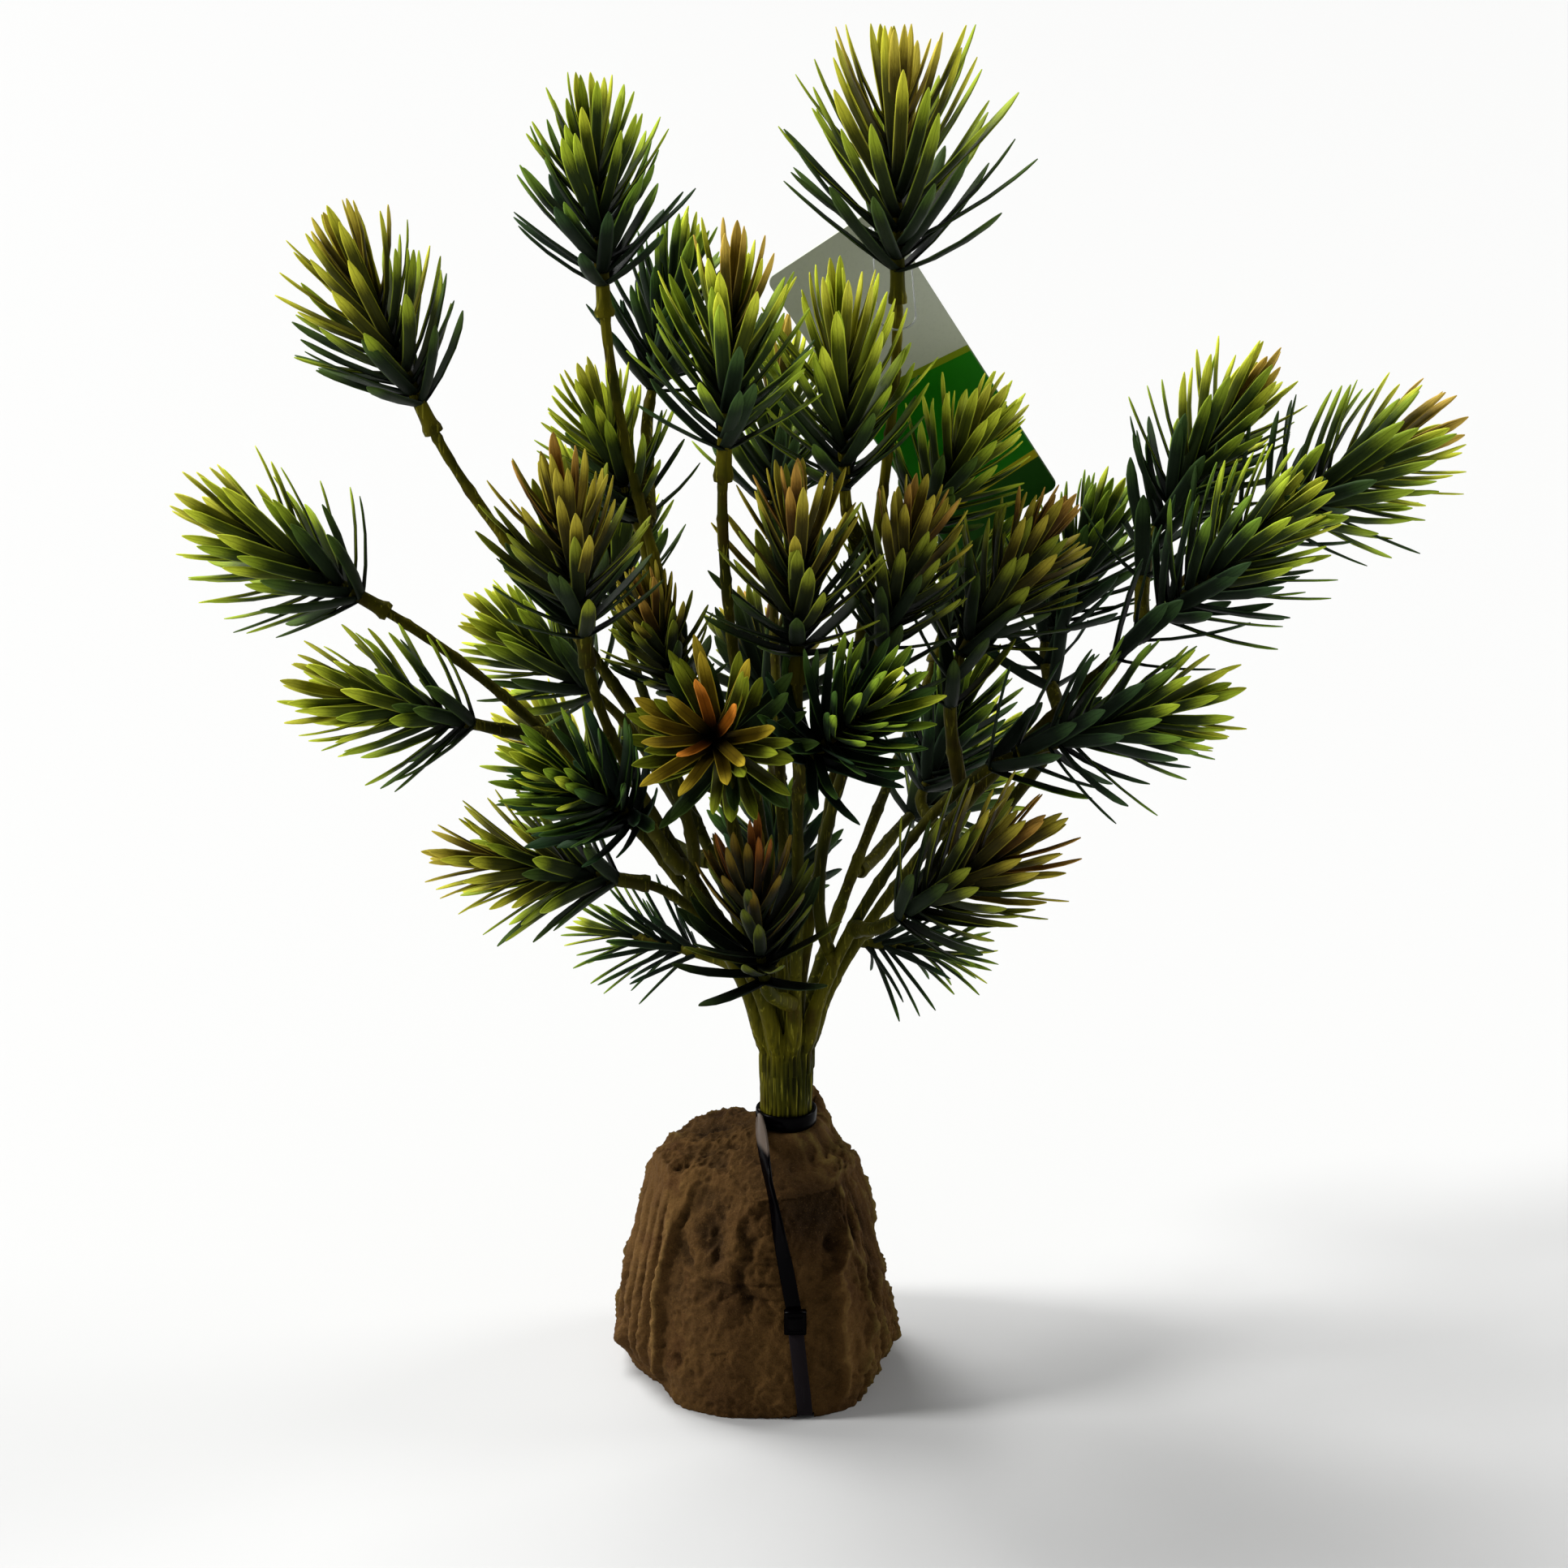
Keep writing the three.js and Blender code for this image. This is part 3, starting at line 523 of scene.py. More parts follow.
def barkMaterial():
    look = barkLook
    maker = Finish("mouldedBark")
    place = maker.place()
    patches = maker.noise(place, 60, 4)
    brown = maker.ease(maker.noise(place, 130, 3), 0.5, 0.72)
    grooves = maker.noise(maker.place((1, 1, 0.09)), look["grooveScale"], 3, 0.6)
    streaks = maker.noise(maker.place((1, 1, 0.05)), look["streakScale"], 2)
    height = maker.parts(place)[2]
    shaded, crownShade = (maker.ease(height, low, fullLow) * maker.ease(height, high, fullHigh)
                     for low, fullLow, fullHigh, high in (look["shadedZone"], look["crownShadeZone"]))
    base = maker.coats(
        look["moss"],
        (maker.ease(patches, 0.35, 0.65), look["olive"]),
        (brown * 0.75, look["umber"]),
        (maker.ease(grooves, 0.5, 0.3) * 0.6, look["moss"]),
        (maker.ease(streaks, 0.58, 0.7) * 0.6, look["pale"]),
        (maker.ease(maker.layer("relief"), 0, -0.24) * 0.7, look["groove"]),
        (shaded * 0.45, look["moss"]),
        # painted shade: the limbs inside the crown darkened
        (crownShade * 0.5, look["crownShade"]))
    return maker.close(base, look["roughness"] - 0.12 * patches, look["gloss"], grooves, 0.6, 0.0003)


def tubeTree():
    extra = [("Sides", "NodeSocketInt"), ("Flutes", "NodeSocketInt"), ("Flute depth", "NodeSocketFloat"),
             ("Finish", "NodeSocketMaterial")]
    tree, identifiers, maker, entry = startTree("tubesAlongRoutes", extra)
    sides, flutes, depth, finish = (Value(maker, entry.outputs[label]) for label, kind in extra)
    circle = maker.node("GeometryNodeCurvePrimitiveCircle", {"mode": "RADIUS"}, Resolution=sides, Radius=1.0)
    spot = Value(maker, maker.node("GeometryNodeInputPosition").outputs[0], True)
    spotX, spotY = maker.parts(spot)[:2]
    turn = maker.math("ARCTAN2", spotY, spotX)
    fluted = spot * (1 + depth * maker.cosine(turn * flutes))
    shaped = maker.node("GeometryNodeSetPosition", None, Position=fluted)
    profile = linkChain(maker, circle.outputs[0], shaped)
    toCurve = maker.node("GeometryNodeMeshToCurve")
    skin = maker.node("GeometryNodeCurveToMesh", None, Scale=attribute(maker, "thick"), Fill_Caps=True)
    maker.tree.links.new(profile, skin.inputs["Profile Curve"])
    realize = maker.node("GeometryNodeRealizeInstances")
    coat = maker.node("GeometryNodeSetMaterial", None, Material=finish)
    output = maker.node("NodeGroupOutput")
    linkChain(maker, entry.outputs["Geometry"], toCurve, skin, realize, coat, output)
    return tree, identifiers


tubes = tubeTree()


def tubesFrom(name, lines, sides, flutes, depth, finish):  # lines hold points and radii, in mm
    points, edges, thick = [], [], []
    for route, radii in lines:
        edges += [(len(points) + i, len(points) + i + 1) for i in range(len(route) - 1)]
        points += list(route)
        thick += list(radii)
    mesh = toMesh(name, points, (), edges)
    addLayer(mesh, "thick", np.array(thick) * mm)
    made = toObject(name, mesh)
    made = runTree(made, *tubes, {"Sides": sides, "Flutes": flutes, "Flute depth": depth, "Finish": finish})
    faceOutwards(made.data)
    smooth(made.data)
    return made


# Boughs and stems

limbs = {
    "stemSeed": 40,
    "step": 1.1,
    "boughFoot": 1.55,
    "boughTip": 1.1,
    "stemFoot": 1.85,
    "stalkTip": 0.6,
    "collar": 0.28,
    "collarWidth": 1,
    "knotEvery": 13,
    "knot": 0.22,
    "knotWidth": 0.8,
    "stepIn": 0.1,  # how much thinner a stem is above a knot
    "wobble": 0.07,
    "nub": [(0, 1.5), (0.3, 1.48), (0.55, 1.42), (0.8, 1.55), (0.95, 1.5), (1.08, 1.2)],  # place and radius
    "sides": 15,
    "flutes": 5,
    "fluteDepth": 0.04,
}


def limbLine(route, footRadius, tipRadius, seed):
    shares = np.linspace(0, 1, max(6, int(route.length / limbs["step"])))
    shift = random.Random(seed).uniform(0, limbs["knotEvery"])
    points, radii = route.at(shares), []
    for share, point in zip(shares, points):
        fromKnot = ((share * route.length + shift) % limbs["knotEvery"]) - limbs["knotEvery"] / 2
        knot = limbs["knot"] * bell(fromKnot, limbs["knotWidth"])
        stepIn = limbs["stepIn"] * easeBetween(-0.4, 0.4, fromKnot)
        waver = limbs["wobble"] * noise.noise(Vector(point) * 0.22 + Vector((seed, 0, 0)))
        radii.append(lerp(footRadius, tipRadius, share) * (1 + waver) + knot - stepIn)
    return points, radii


def makeLimbs(finish):
    lines = [limbLine(route, limbs["boughFoot"], limbs["boughTip"], seed)
             for seed, route in enumerate(boughRoutes.values())]
    for seed, route in enumerate(stemRoutes.values()):
        points, radii = limbLine(route, limbs["stemFoot"], limbs["stalkTip"], seed + limbs["stemSeed"])
        fromJoint = np.linalg.norm(points - points[0], axis=1)
        collars = [limbs["collar"] * bell(away - 1, limbs["collarWidth"]) for away in fromJoint]
        lines.append((points, [radius + collar for radius, collar in zip(radii, collars)]))
    for seat, nubEnd in nubBars:
        lines.append(([lerp(seat, nubEnd, share) for share, radius in limbs["nub"]],
                      [radius for share, radius in limbs["nub"]]))
    made = tubesFrom("boughs_and_stems", lines, limbs["sides"], limbs["flutes"], limbs["fluteDepth"], finish)
    addPiece(made, "bark", *[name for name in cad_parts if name.startswith("bough_")])


# The trunk and its fork, one moulding with deep bark

fork = {
    "sides": 24,
    "rows": 18,
    "radius": 5.95,
    "swell": (0.3, 5, 7),  # how much wider the trunk is above, and where that starts and ends
    "closing": (1.1, 5, 1.5),  # how much its top closes in, and over which last millimetres
    "rootLength": 22,
    "rootSunk": 5,
    "footRadius": 1.85,
    "endRadius": 1.45,
    "bulge": (0.3, 7, 6),  # of a bough's root: how much, where along it and how wide
    "spread": (0.75, 3, 5),  # how far an outer bough's root leans out, where along it and how wide
    "voxel": 0.25,
    "grooveDepth": 0.42,
    "grooves": 35,
    "softenings": 2,
}


def barkRelief(x, y, z, normalRise):  # ribs and streaks that run up the trunk, in mm
    turn = math.atan2(y, x - trunk["x"])
    swerve = noise.noise(Vector((x * 0.22, y * 0.22, z * 0.1))) * 2.2
    ribs = abs(math.sin(turn * fork["grooves"] / 2 + swerve)) ** 0.55
    streak = abs(noise.noise(Vector((x * 1.1, y * 1.1, z * 0.1))))
    onTrunk = 1 - easeBetween(trunk["top"] - 4, trunk["top"] + 5, z)
    ribbed = onTrunk * (ribs - 0.85) * 0.7 + (0.55 + 0.45 * onTrunk) * (0.12 - streak) * 1.2
    return fork["grooveDepth"] * ribbed * (1 - abs(normalRise))


def trunkLine():
    foot, top = trunk["foot"], trunk["top"]
    wider, swellFrom, swellTo = fork["swell"]
    less, closeFrom, closeTo = fork["closing"]
    heights = np.linspace(foot, top - 2, fork["rows"])
    radii = [fork["radius"] + wider * easeBetween(foot + swellFrom, top - swellTo, z)
             - less * easeBetween(top - closeFrom, top - closeTo, z) for z in heights]
    return [np.array([trunk["x"], 0, z]) for z in heights], radii


def rootLine(name):  # the first part of a bough, where it runs out of the trunk
    ring, route = boughSeats[name][0], boughRoutes[name]
    more, bulgeAt, bulgeWidth = fork["bulge"]
    lean, leanAt, leanWidth = fork["spread"]
    outward = unit((route.at(0) - (trunk["x"], 0, 0)) * (1, 1, 0)) * (lean if ring == "outer" else 0)
    along = np.linspace(0, fork["rootLength"], fork["rows"])
    path = [route.at(a / route.length) + outward * bell(a - leanAt, leanWidth) for a in along]
    radii = [lerp(fork["footRadius"], fork["endRadius"], a / fork["rootLength"])
             + more * bell(a - bulgeAt, bulgeWidth) for a in along]
    return [path[0] - (0, 0, fork["rootSunk"]), *path], [fork["footRadius"], *radii]


def makeFork(finish):
    roots = [name for name in boughRoutes if boughSeats[name][0] in ("outer", "inner")]
    lines = [trunkLine(), *(rootLine(name) for name in roots)]
    made = tubesFrom("trunk_and_fork", lines, fork["sides"], 3, 0.0, finish)
    remesh = made.modifiers.new("oneSkin", "REMESH")
    remesh.mode = "VOXEL"
    remesh.voxel_size = fork["voxel"] * mm
    soften = made.modifiers.new("soften", "SMOOTH")
    soften.iterations = fork["softenings"]
    mesh = plain(made).data
    mesh.materials.clear()
    mesh.materials.append(finish)
    places, normals = (np.empty(len(mesh.vertices) * 3) for layer in range(2))
    mesh.vertices.foreach_get("co", places)
    mesh.vertices.foreach_get("normal", normals)
    places, reliefs = places.reshape(-1, 3) / mm, []
    for place, normal in zip(places, normals.reshape(-1, 3)):
        reliefs.append(barkRelief(*place, normal[2]))
        place += normal * reliefs[-1]
        place[2] = max(place[2], trunk["foot"])
    mesh.vertices.foreach_set("co", (places * mm).ravel())
    addLayer(mesh, "relief", reliefs)
    mesh.update()
    faceOutwards(mesh)
    smooth(mesh)
    addPiece(made, "bark", "trunk")


bark = barkMaterial()
makeFork(bark)
makeLimbs(bark)


# Leaves

# the whorls of one spray: place along its stalk, leaves, opening angle and leaf length
whorls = [
    (0.02, 5, 57, 23),
    (0.1, 6, 53, 24.5),
    (0.19, 6, 49, 25),
    (0.28, 7, 45, 25.5),
    (0.38, 6, 41, 25),
    (0.48, 7, 37, 24.5),
    (0.58, 6, 33, 24),
    (0.68, 6, 29, 23),
    (0.78, 5, 25, 22),
    (0.88, 4, 19, 20.5),
    (0.96, 3, 12, 18.5),
]

leafShape = {
    "width": 2.72,
    "wider": 0.42,  # how much wider the oldest leaves are than the newest
    "thick": 0.9,
    "bend": 19,  # degrees from root to tip, towards the axis
    "stations": [0, 0.12, 0.32, 0.62, 0.82, 0.91, 0.965, 0.993],
    "proud": 2.5,  # how far a tip may reach past the solids
    "columns": 4,  # of the colour chart: old, grown, young and newest leaves
    "seed": 11,
    "phase": 2.1,  # how far each row is turned from the last
    "phases": (-0.4, 0.4),
    "arounds": (-0.16, 0.16),
    "openings": (-12, 11),  # degrees that a leaf stands off its whorl's angle
    "lengths": (-0.1, 0.06),
    "widths": (0.88, 1.1),
    "curls": (0.4, 1.5),
    "twists": (-0.25, 0.25),
    "ages": (-0.6, 0.6),
    "leastBend": 0.02,
    "clear": 0.2,  # free space to stems and tag, measured from a little way up the leaf
    "clearFrom": 2.5,
    "broad": {"centre_top": 1.22},  # longer leaves, but for the newest rows
    "broadRows": 9,
    "limp": {"left_front": -0.5, "left_drooping": -0.3, "right_drooping": -0.9},
    "sparse": {"right_drooping": 0.5, "left_drooping": 0.6, "foot_front": 0.85},  # the share that is kept
    "slim": {"right_drooping": 0.5, "left_drooping": 0.55},
    "rows": {"facing": 8},  # an open rosette has no newest leaves
    "trailing": {"right_upper": 3, "right_far": 2, "right_rear": 3, "right_wide": 3, "right_bronze": 3,
                 "right_mid": 2, "right_low": 2},  # rows on the stem below the spray
    "trailingFrom": 3,
    "trailingStep": 6,
    "trailingRow": (0, 4, 44, 23),  # age, leaves, opening angle and leaf length
}


def blankOutline(share):  # nearly one width for two thirds, with a narrower root and a blunt point
    root = 0.84 + 0.16 * easeBetween(0, 0.25, share)
    taper = max(0, (share - 0.69) / 0.31)
    return root * max(0, 1 - taper ** 2.1) ** 0.78


def leafBlank():  # one flat leaf: its mesh says where each point is along, across and through the blade
    topSide = [(-0.5, 0.05), (-0.36, 0.44), (0, 0.06), (0.36, 0.44), (0.5, 0.05)]
    section = topSide + [(0.25, -0.44), (-0.25, -0.44)]
    stations, count = leafShape["stations"], len(section)
    layers = {"across": [], "along": [], "through": []}
    for share in stations:
        outline, body = blankOutline(share), 1 - 0.45 * share
        for side, lift in section:
            layers["along"].append(share)
            layers["across"].append(side * outline)
            layers["through"].append(lift * body * min(1, 0.4 + outline))
    faces = rowFaces(len(stations), count)
    charts = [[chartSpot(stations[i // count], section[i % count][0], face[0] % count >= len(topSide) - 1)
               for i in face] for face in faces]
    last = (len(stations) - 1) * count
    faces += [tuple(range(last, last + count)), tuple(reversed(range(count)))]
    charts += [[chartSpot(1, side, False) for side, lift in section],
               [chartSpot(0, side, False) for side, lift in reversed(section)]]
    mesh = toMesh("leafBlank", np.column_stack(list(layers.values())), faces)
    for key, values in layers.items():
        addLayer(mesh, key, values)
    chart = mesh.uv_layers.new(name="OFBake")
    chart.data.foreach_set("uv", np.array([spot for face in charts for spot in face], np.float32).ravel())
    return toObject("leafBlank", mesh)


def chartSpot(share, side, under):  # where a point of the blade lies on the colour chart's first column
    inset = 0.04
    spot = (lerp(inset, 1 - inset, side + 0.5)) / (2 * leafShape["columns"])
    return (spot + (0.5 if under else 0), lerp(0.01, 0.99, share))


def leafTree():
    extra = [("Leaf blank", "NodeSocketObject"), ("Leaf thickness", "NodeSocketFloat"),
             ("Colour columns", "NodeSocketInt"), ("Finish", "NodeSocketMaterial")]
    tree, identifiers, maker, entry = startTree("leavesOnStalks", extra)
    blank, thick, columns, finish = (Value(maker, entry.outputs[label]) for label, kind in extra)
    info = maker.node("GeometryNodeObjectInfo", {"transform_space": "ORIGINAL"}, Object=blank)
    place = maker.node("GeometryNodeInstanceOnPoints")
    maker.tree.links.new(info.outputs["Geometry"], place.inputs["Instance"])
    realize = maker.node("GeometryNodeRealizeInstances")

    along, across, through = (attribute(maker, name) for name in ("along", "across", "through"))
    numbers, vectors = ("leafLength", "leafWidth", "bend", "twist"), ("root", "way", "wide", "face")
    length, width, bend, twist = (attribute(maker, name) for name in numbers)
    root, way, wide, face = (attribute(maker, name, "FLOAT_VECTOR") for name in vectors)
    turned = bend * along
    reach = length * maker.sine(turned) / bend
    rise = length * (1 - maker.cosine(turned)) / bend
    roll = twist * along
    blade = wide * maker.cosine(roll) + face * maker.sine(roll)
    upper = face * maker.cosine(turned) - way * maker.sine(turned)
    spot = root + way * reach + face * rise + blade * (width * across) + upper * (thick * through)
    shape = maker.node("GeometryNodeSetPosition", None, Position=spot)

    chart = attribute(maker, "OFBake", "FLOAT_VECTOR")
    moved = chart + maker.vector(X=attribute(maker, "column") / (2 * columns))
    settings = {"data_type": "FLOAT2", "domain": "CORNER"}
    store = maker.node("GeometryNodeStoreNamedAttribute", settings, Name="OFBake", Value=moved)
    coat = maker.node("GeometryNodeSetMaterial", None, Material=finish)
    output = maker.node("NodeGroupOutput")
    linkChain(maker, entry.outputs["Geometry"], place, realize, shape, store, coat, output)
    return tree, identifiers


# Everything that a leaf keeps clear of: bars between two points, with their radius
def barsOf(route, radius, steps=14):
    ends = route.at(np.linspace(0, 1, steps + 1))
    return [(ends[i], ends[i + 1], radius) for i in range(steps)]


def barGap(start, end, bars):  # the least free space between a leaf and the bars
    fromPoints, toPoints, radii = bars
    u, v = end - start, toPoints - fromPoints
    w = start - fromPoints
    uu, uv, vv = u @ u, v @ u, np.einsum("ij,ij->i", v, v)
    uw, vw = w @ u, np.einsum("ij,ij->i", v, w)
    crossing = np.maximum(uu * vv - uv * uv, 1e-9)
    first = np.clip((uv * vw - vv * uw) / crossing, 0, 1)
    second = np.clip((uv * first + vw) / vv, 0, 1)
    again = np.clip((uv * second - uw) / uu, 0, 1)
    nearest = w + again[:, None] * u - second[:, None] * v
    return np.min(np.linalg.norm(nearest, axis=1) - radii)


tag = {
    "corner": (26.5, 16, 265),
    "lean": (44, 22, -67),
    "across": (-66, 0, -43),
    "width": 29,
    "length": 80,
    "thick": 0.5,
    "rounding": 2,
    "inset": 4.6,
    "hole": 1.7,
    "holeSides": 24,
}
tagDown = unit(tag["lean"])
tagAcross = np.array(tag["across"], float)
tagAcross = unit(tagAcross - tagDown * tagAcross.dot(tagDown))
tagFace = np.cross(tagAcross, tagDown)


def onTag(down, across, through=0):
    return np.array(tag["corner"]) + tagDown * down + tagAcross * across + tagFace * through


def leafBars():
    foot, top = (np.array([trunk["x"], 0, trunk[key]]) for key in ("foot", "top"))
    bars = [(foot, top, trunk["radius"] + 1)]
    for route in boughRoutes.values():
        bars += barsOf(route, 1.1)
    lines = 12
    for line in range(lines + 1):
        side = tag["width"] * line / lines
        bars.append((onTag(0, side), onTag(tag["length"], side), 0.9))
    return [np.array(column) for column in zip(*bars)]


def trailingSeats(name):  # where leaves sit on the stem below a spray
    shape = leafShape
    carrier = boughRoutes.get(name, stemRoutes[name])
    top = carrier.length - (0 if name in boughRoutes else stem["stalk"] * sprays[name][3])
    places = [top - shape["trailingFrom"] - shape["trailingStep"] * step
              for step in range(shape["trailing"].get(name, 0))]
    return [(carrier.at(place / carrier.length), carrier.way(place / carrier.length), *shape["trailingRow"])
            for place in places]


def planLeaves():
    shape, bars, plans = leafShape, leafBars(), {}
    insideLow, insideHigh = np.array(cadLow) / mm - shape["proud"], np.array(cadHigh) / mm + shape["proud"]
    for index, (name, (foot, turn, rise, size, tint, *_)) in enumerate(sprays.items()):
        draws = random.Random(index + shape["seed"])
        axis, foot = heading(turn, rise), np.array(foot, float)
        leaves = plans.setdefault(tint, [])
        broad, limp, kept, slim = (shape[key].get(name, 1) for key in ("broad", "limp", "sparse", "slim"))
        seats = [(foot + axis * stem["stalk"] * size * place, axis, row, *whorl)
                 for row, (place, *whorl) in enumerate(whorls[:shape["rows"].get(name)])]
        for root, axis, row, count, opening, leafLength in seats + trailingSeats(name):
            side = unit(np.cross(axis, (1, 0, 0) if abs(axis[2]) > 0.95 else (0, 0, 1)))
            other = np.cross(axis, side)
            phase = row * shape["phase"] + draws.uniform(*shape["phases"])
            for k in range(count):
                around = phase + 2 * math.pi * k / count + draws.uniform(*shape["arounds"])
                openTurn = math.radians(opening + draws.uniform(*shape["openings"]))
                length = leafLength * size * (broad if row < shape["broadRows"] else 1)
                length *= 1 + draws.uniform(*shape["lengths"])
                bend = math.radians(shape["bend"] * limp * draws.uniform(*shape["curls"]))
                out = side * math.cos(around) + other * math.sin(around)
                startTurn = openTurn + bend / 2
                way = axis * math.cos(startTurn) + out * math.sin(startTurn)
                wide = np.cross(out, axis)
                chord = axis * math.cos(openTurn) + out * math.sin(openTurn)
                tip = root + chord * length
                length /= max(1, *((tip - root) / (insideHigh - root)), *((tip - root) / (insideLow - root)))
                dropped = draws.random() > kept
                gap = barGap(root + chord * shape["clearFrom"], root + chord * length, bars)
                if dropped or gap < shape["clear"]:
                    continue
                young = row / len(whorls)
                aging = row * (shape["columns"] - 0.9) / len(whorls) + draws.uniform(*shape["ages"])
                width = shape["width"] * slim * lerp(0.85, 1.05, size) * (1 + shape["wider"] * (0.5 - young))
                leaves.append({
                    "root": root, "way": way, "wide": wide, "face": np.cross(wide, way), "leafLength": length,
                    "leafWidth": width * draws.uniform(*shape["widths"]),
                    "bend": bend if abs(bend) > shape["leastBend"] else shape["leastBend"],
                    "twist": draws.uniform(*shape["twists"]),
                    "column": min(shape["columns"] - 1, max(0, round(aging))),
                })
    return plans


# for each tint, the blade's colours at its root, middle and tip: of old, grown, young and newest leaves
tints = {
    "lime": (((4, 8, 4), (7, 11, 3), (15, 16, 3), (24, 20, 3)),
             ((32, 46, 18), (56, 70, 14), (92, 102, 12), (112, 112, 14)),
             ((73, 96, 35), (164, 185, 48), (214, 225, 64), (216, 214, 73))),
    "olive": (((4, 8, 4), (7, 9, 3), (14, 10, 3), (24, 13, 3)),
              ((26, 36, 18), (48, 56, 14), (82, 80, 12), (88, 74, 14)),
              ((68, 90, 36), (160, 178, 47), (212, 210, 62), (210, 193, 71))),
    "amber": (((3, 8, 3), (7, 8, 2), (15, 8, 2), (28, 12, 2)),
              ((20, 29, 13), (41, 43, 11), (76, 64, 11), (92, 60, 13)),
              ((57, 74, 30), (133, 142, 40), (177, 163, 53), (186, 144, 63))),
    "umber": (((3, 5, 2), (4, 5, 2), (9, 5, 2), (14, 7, 2)),
              ((20, 31, 12), (52, 54, 11), (88, 72, 11), (116, 64, 11)),
              ((60, 82, 32), (136, 148, 36), (182, 158, 42), (210, 130, 44))),
    # painted shade: umber darkened for the spray that sits in shade under the crown
    "dusk": (((2, 4, 2), (3, 4, 2), (6, 4, 2), (10, 5, 2)),
             ((12, 18, 9), (24, 25, 7), (44, 32, 7), (62, 32, 7)),
             ((38, 52, 22), (84, 92, 24), (112, 92, 26), (140, 84, 30))),
    "pine": (((3, 8, 5), (4, 9, 4), (8, 11, 3), (12, 14, 3)),
             ((17, 28, 18), (26, 38, 14), (46, 58, 13), (74, 80, 13)),
             ((54, 78, 43), (116, 148, 47), (177, 197, 52), (208, 213, 60))),
    "mixed": (((3, 8, 5), (5, 9, 4), (12, 12, 3), (24, 14, 3)),
              ((24, 38, 20), (48, 64, 16), (88, 96, 13), (100, 82, 16)),
              ((61, 85, 42), (155, 178, 49), (218, 225, 66), (208, 176, 76))),
    "deep": (((3, 7, 4), (3, 8, 4), (5, 9, 3), (11, 14, 3)),
             ((14, 24, 16), (16, 30, 14), (28, 44, 12), (66, 78, 12)),
             ((39, 63, 35), (65, 95, 37), (130, 158, 43), (199, 210, 58))),
}

leafLook = {
    "bloom": paint(40, 50, 38),
    "bloomShare": 0.4,
    # how much painted light lifts the blade's edges, as light shining through them would
    "rimLightShare": 0.9,
    "ribShade": 0.35,
    "roughness": 0.38,
    "gloss": 0.045,
}


def leafMaterial(tint):
    look = leafLook
    maker = Finish("leaf_" + tint)
    u, v = maker.chart()
    columns = leafShape["columns"]
    under = maker.over(u, 0.5)
    slot = u * (2 * columns) - under * columns
    column = maker.math("FLOOR", slot)
    across = maker.math("ABSOLUTE", slot - column - 0.5)
    age = (column + 0.5) / columns
    root, middle, tip = (maker.ramp(age, [(i / columns, paint(*tone)) for i, tone in enumerate(tones)])
                         for tones in tints[tint])
    streaks = maker.noise(maker.vector(X=u * 60, Y=v * 5), 4, 3, 0.6)
    edge = v + (streaks - 0.5) * 0.22 - across * 0.16
    # painted light: the blade's edges lightened toward the tip colour, for light shining through them
    rimLight = maker.ease(across, 0.36, 0.45) * maker.ease(v, 0.16, 0.5)
    rib = 1 - maker.ease(across, 0, 0.09)
    base = maker.coats(
        root,
        (maker.ease(edge, 0.08, 0.5), middle),
        (maker.ease(edge, 0.6, 0.9), tip),
        (rimLight * look["rimLightShare"], tip),
        (rib * look["ribShade"], root),
        (under * (1 - maker.ease(v, 0.55, 0.85)) * look["bloomShare"], look["bloom"]))
    roughness = look["roughness"] + 0.12 * streaks + 0.12 * under
    return maker.close(base, roughness, look["gloss"], streaks, 0.25, 0.0002)


def makeLeaves():
    tree, blank = leafTree(), leafBlank()
    for tint, leaves in planLeaves().items():
        mesh = toMesh("leaves_" + tint, [leaf["root"] for leaf in leaves], ())
        for key in leaves[0]:
            scale = mm if key in ("leafLength", "leafWidth", "root") else 1
            addLayer(mesh, key, np.array([leaf[key] for leaf in leaves]) * scale)
        made = toObject("leaves_" + tint, mesh)
        runTree(made, *tree, {"Leaf blank": blank, "Leaf thickness": leafShape["thick"] * mm,
                              "Colour columns": leafShape["columns"], "Finish": leafMaterial(tint)})
        plans = (*leaves[0], "along", "across", "through")
        for layer in [a.name for a in made.data.attributes if a.name in plans]:
            made.data.attributes.remove(made.data.attributes[layer])
        smooth(made.data)
        addPiece(made, "leaf", *["spray_" + name for name, entry in sprays.items() if entry[4] == tint])
    bpy.data.objects.remove(blank)


makeLeaves()


# The rock

tie = {
    "width": 3.4,
    "thick": 0.8,
    "lift": 0.75,
    "shoulderX": 3.8,
    "footX": 11,
    "backX": 4.5,
    "rounding": 0.28,
    "rows": 18,
    "leaning": 22,  # degrees that the upper strap is turned where it meets the rock
}
tieHead = {
    "x": 8.7,
    "z": 24.2,
    "width": 5,
    "height": 5.3,
    "depth": 2.6,
    "window": 3.3,
    "sink": 0.9,
    "lip": 0.6,
    "rise": 0.45,  # of the block inside the window
    "bevel": 0.18,
}

rockFace = {
    "around": 440,
    "sideRows": 136,
    "topRows": 62,
    "flutes": (178, 218, 5.4, 2.1),  # turns on the left face, pitch and depth in mm
    "crags": 2.6,
    "pocked": (-19, 5, 25, 51),  # the pitted part of the front: across and height
    "pocks": 1.8,
    "groove": 1.25,
    "toe": 2.3,
    "undercuts": [(214, 22, 3.2, 10), (342, 16, 3, 9)],  # turn, spread, depth and height
    "waves": [(0.8, 0.1), (0.5, 0.25)],  # strength and scale
    "grain": [(0.3, 0.62), (0.17, 1.4), (0.09, 3.1)],
}

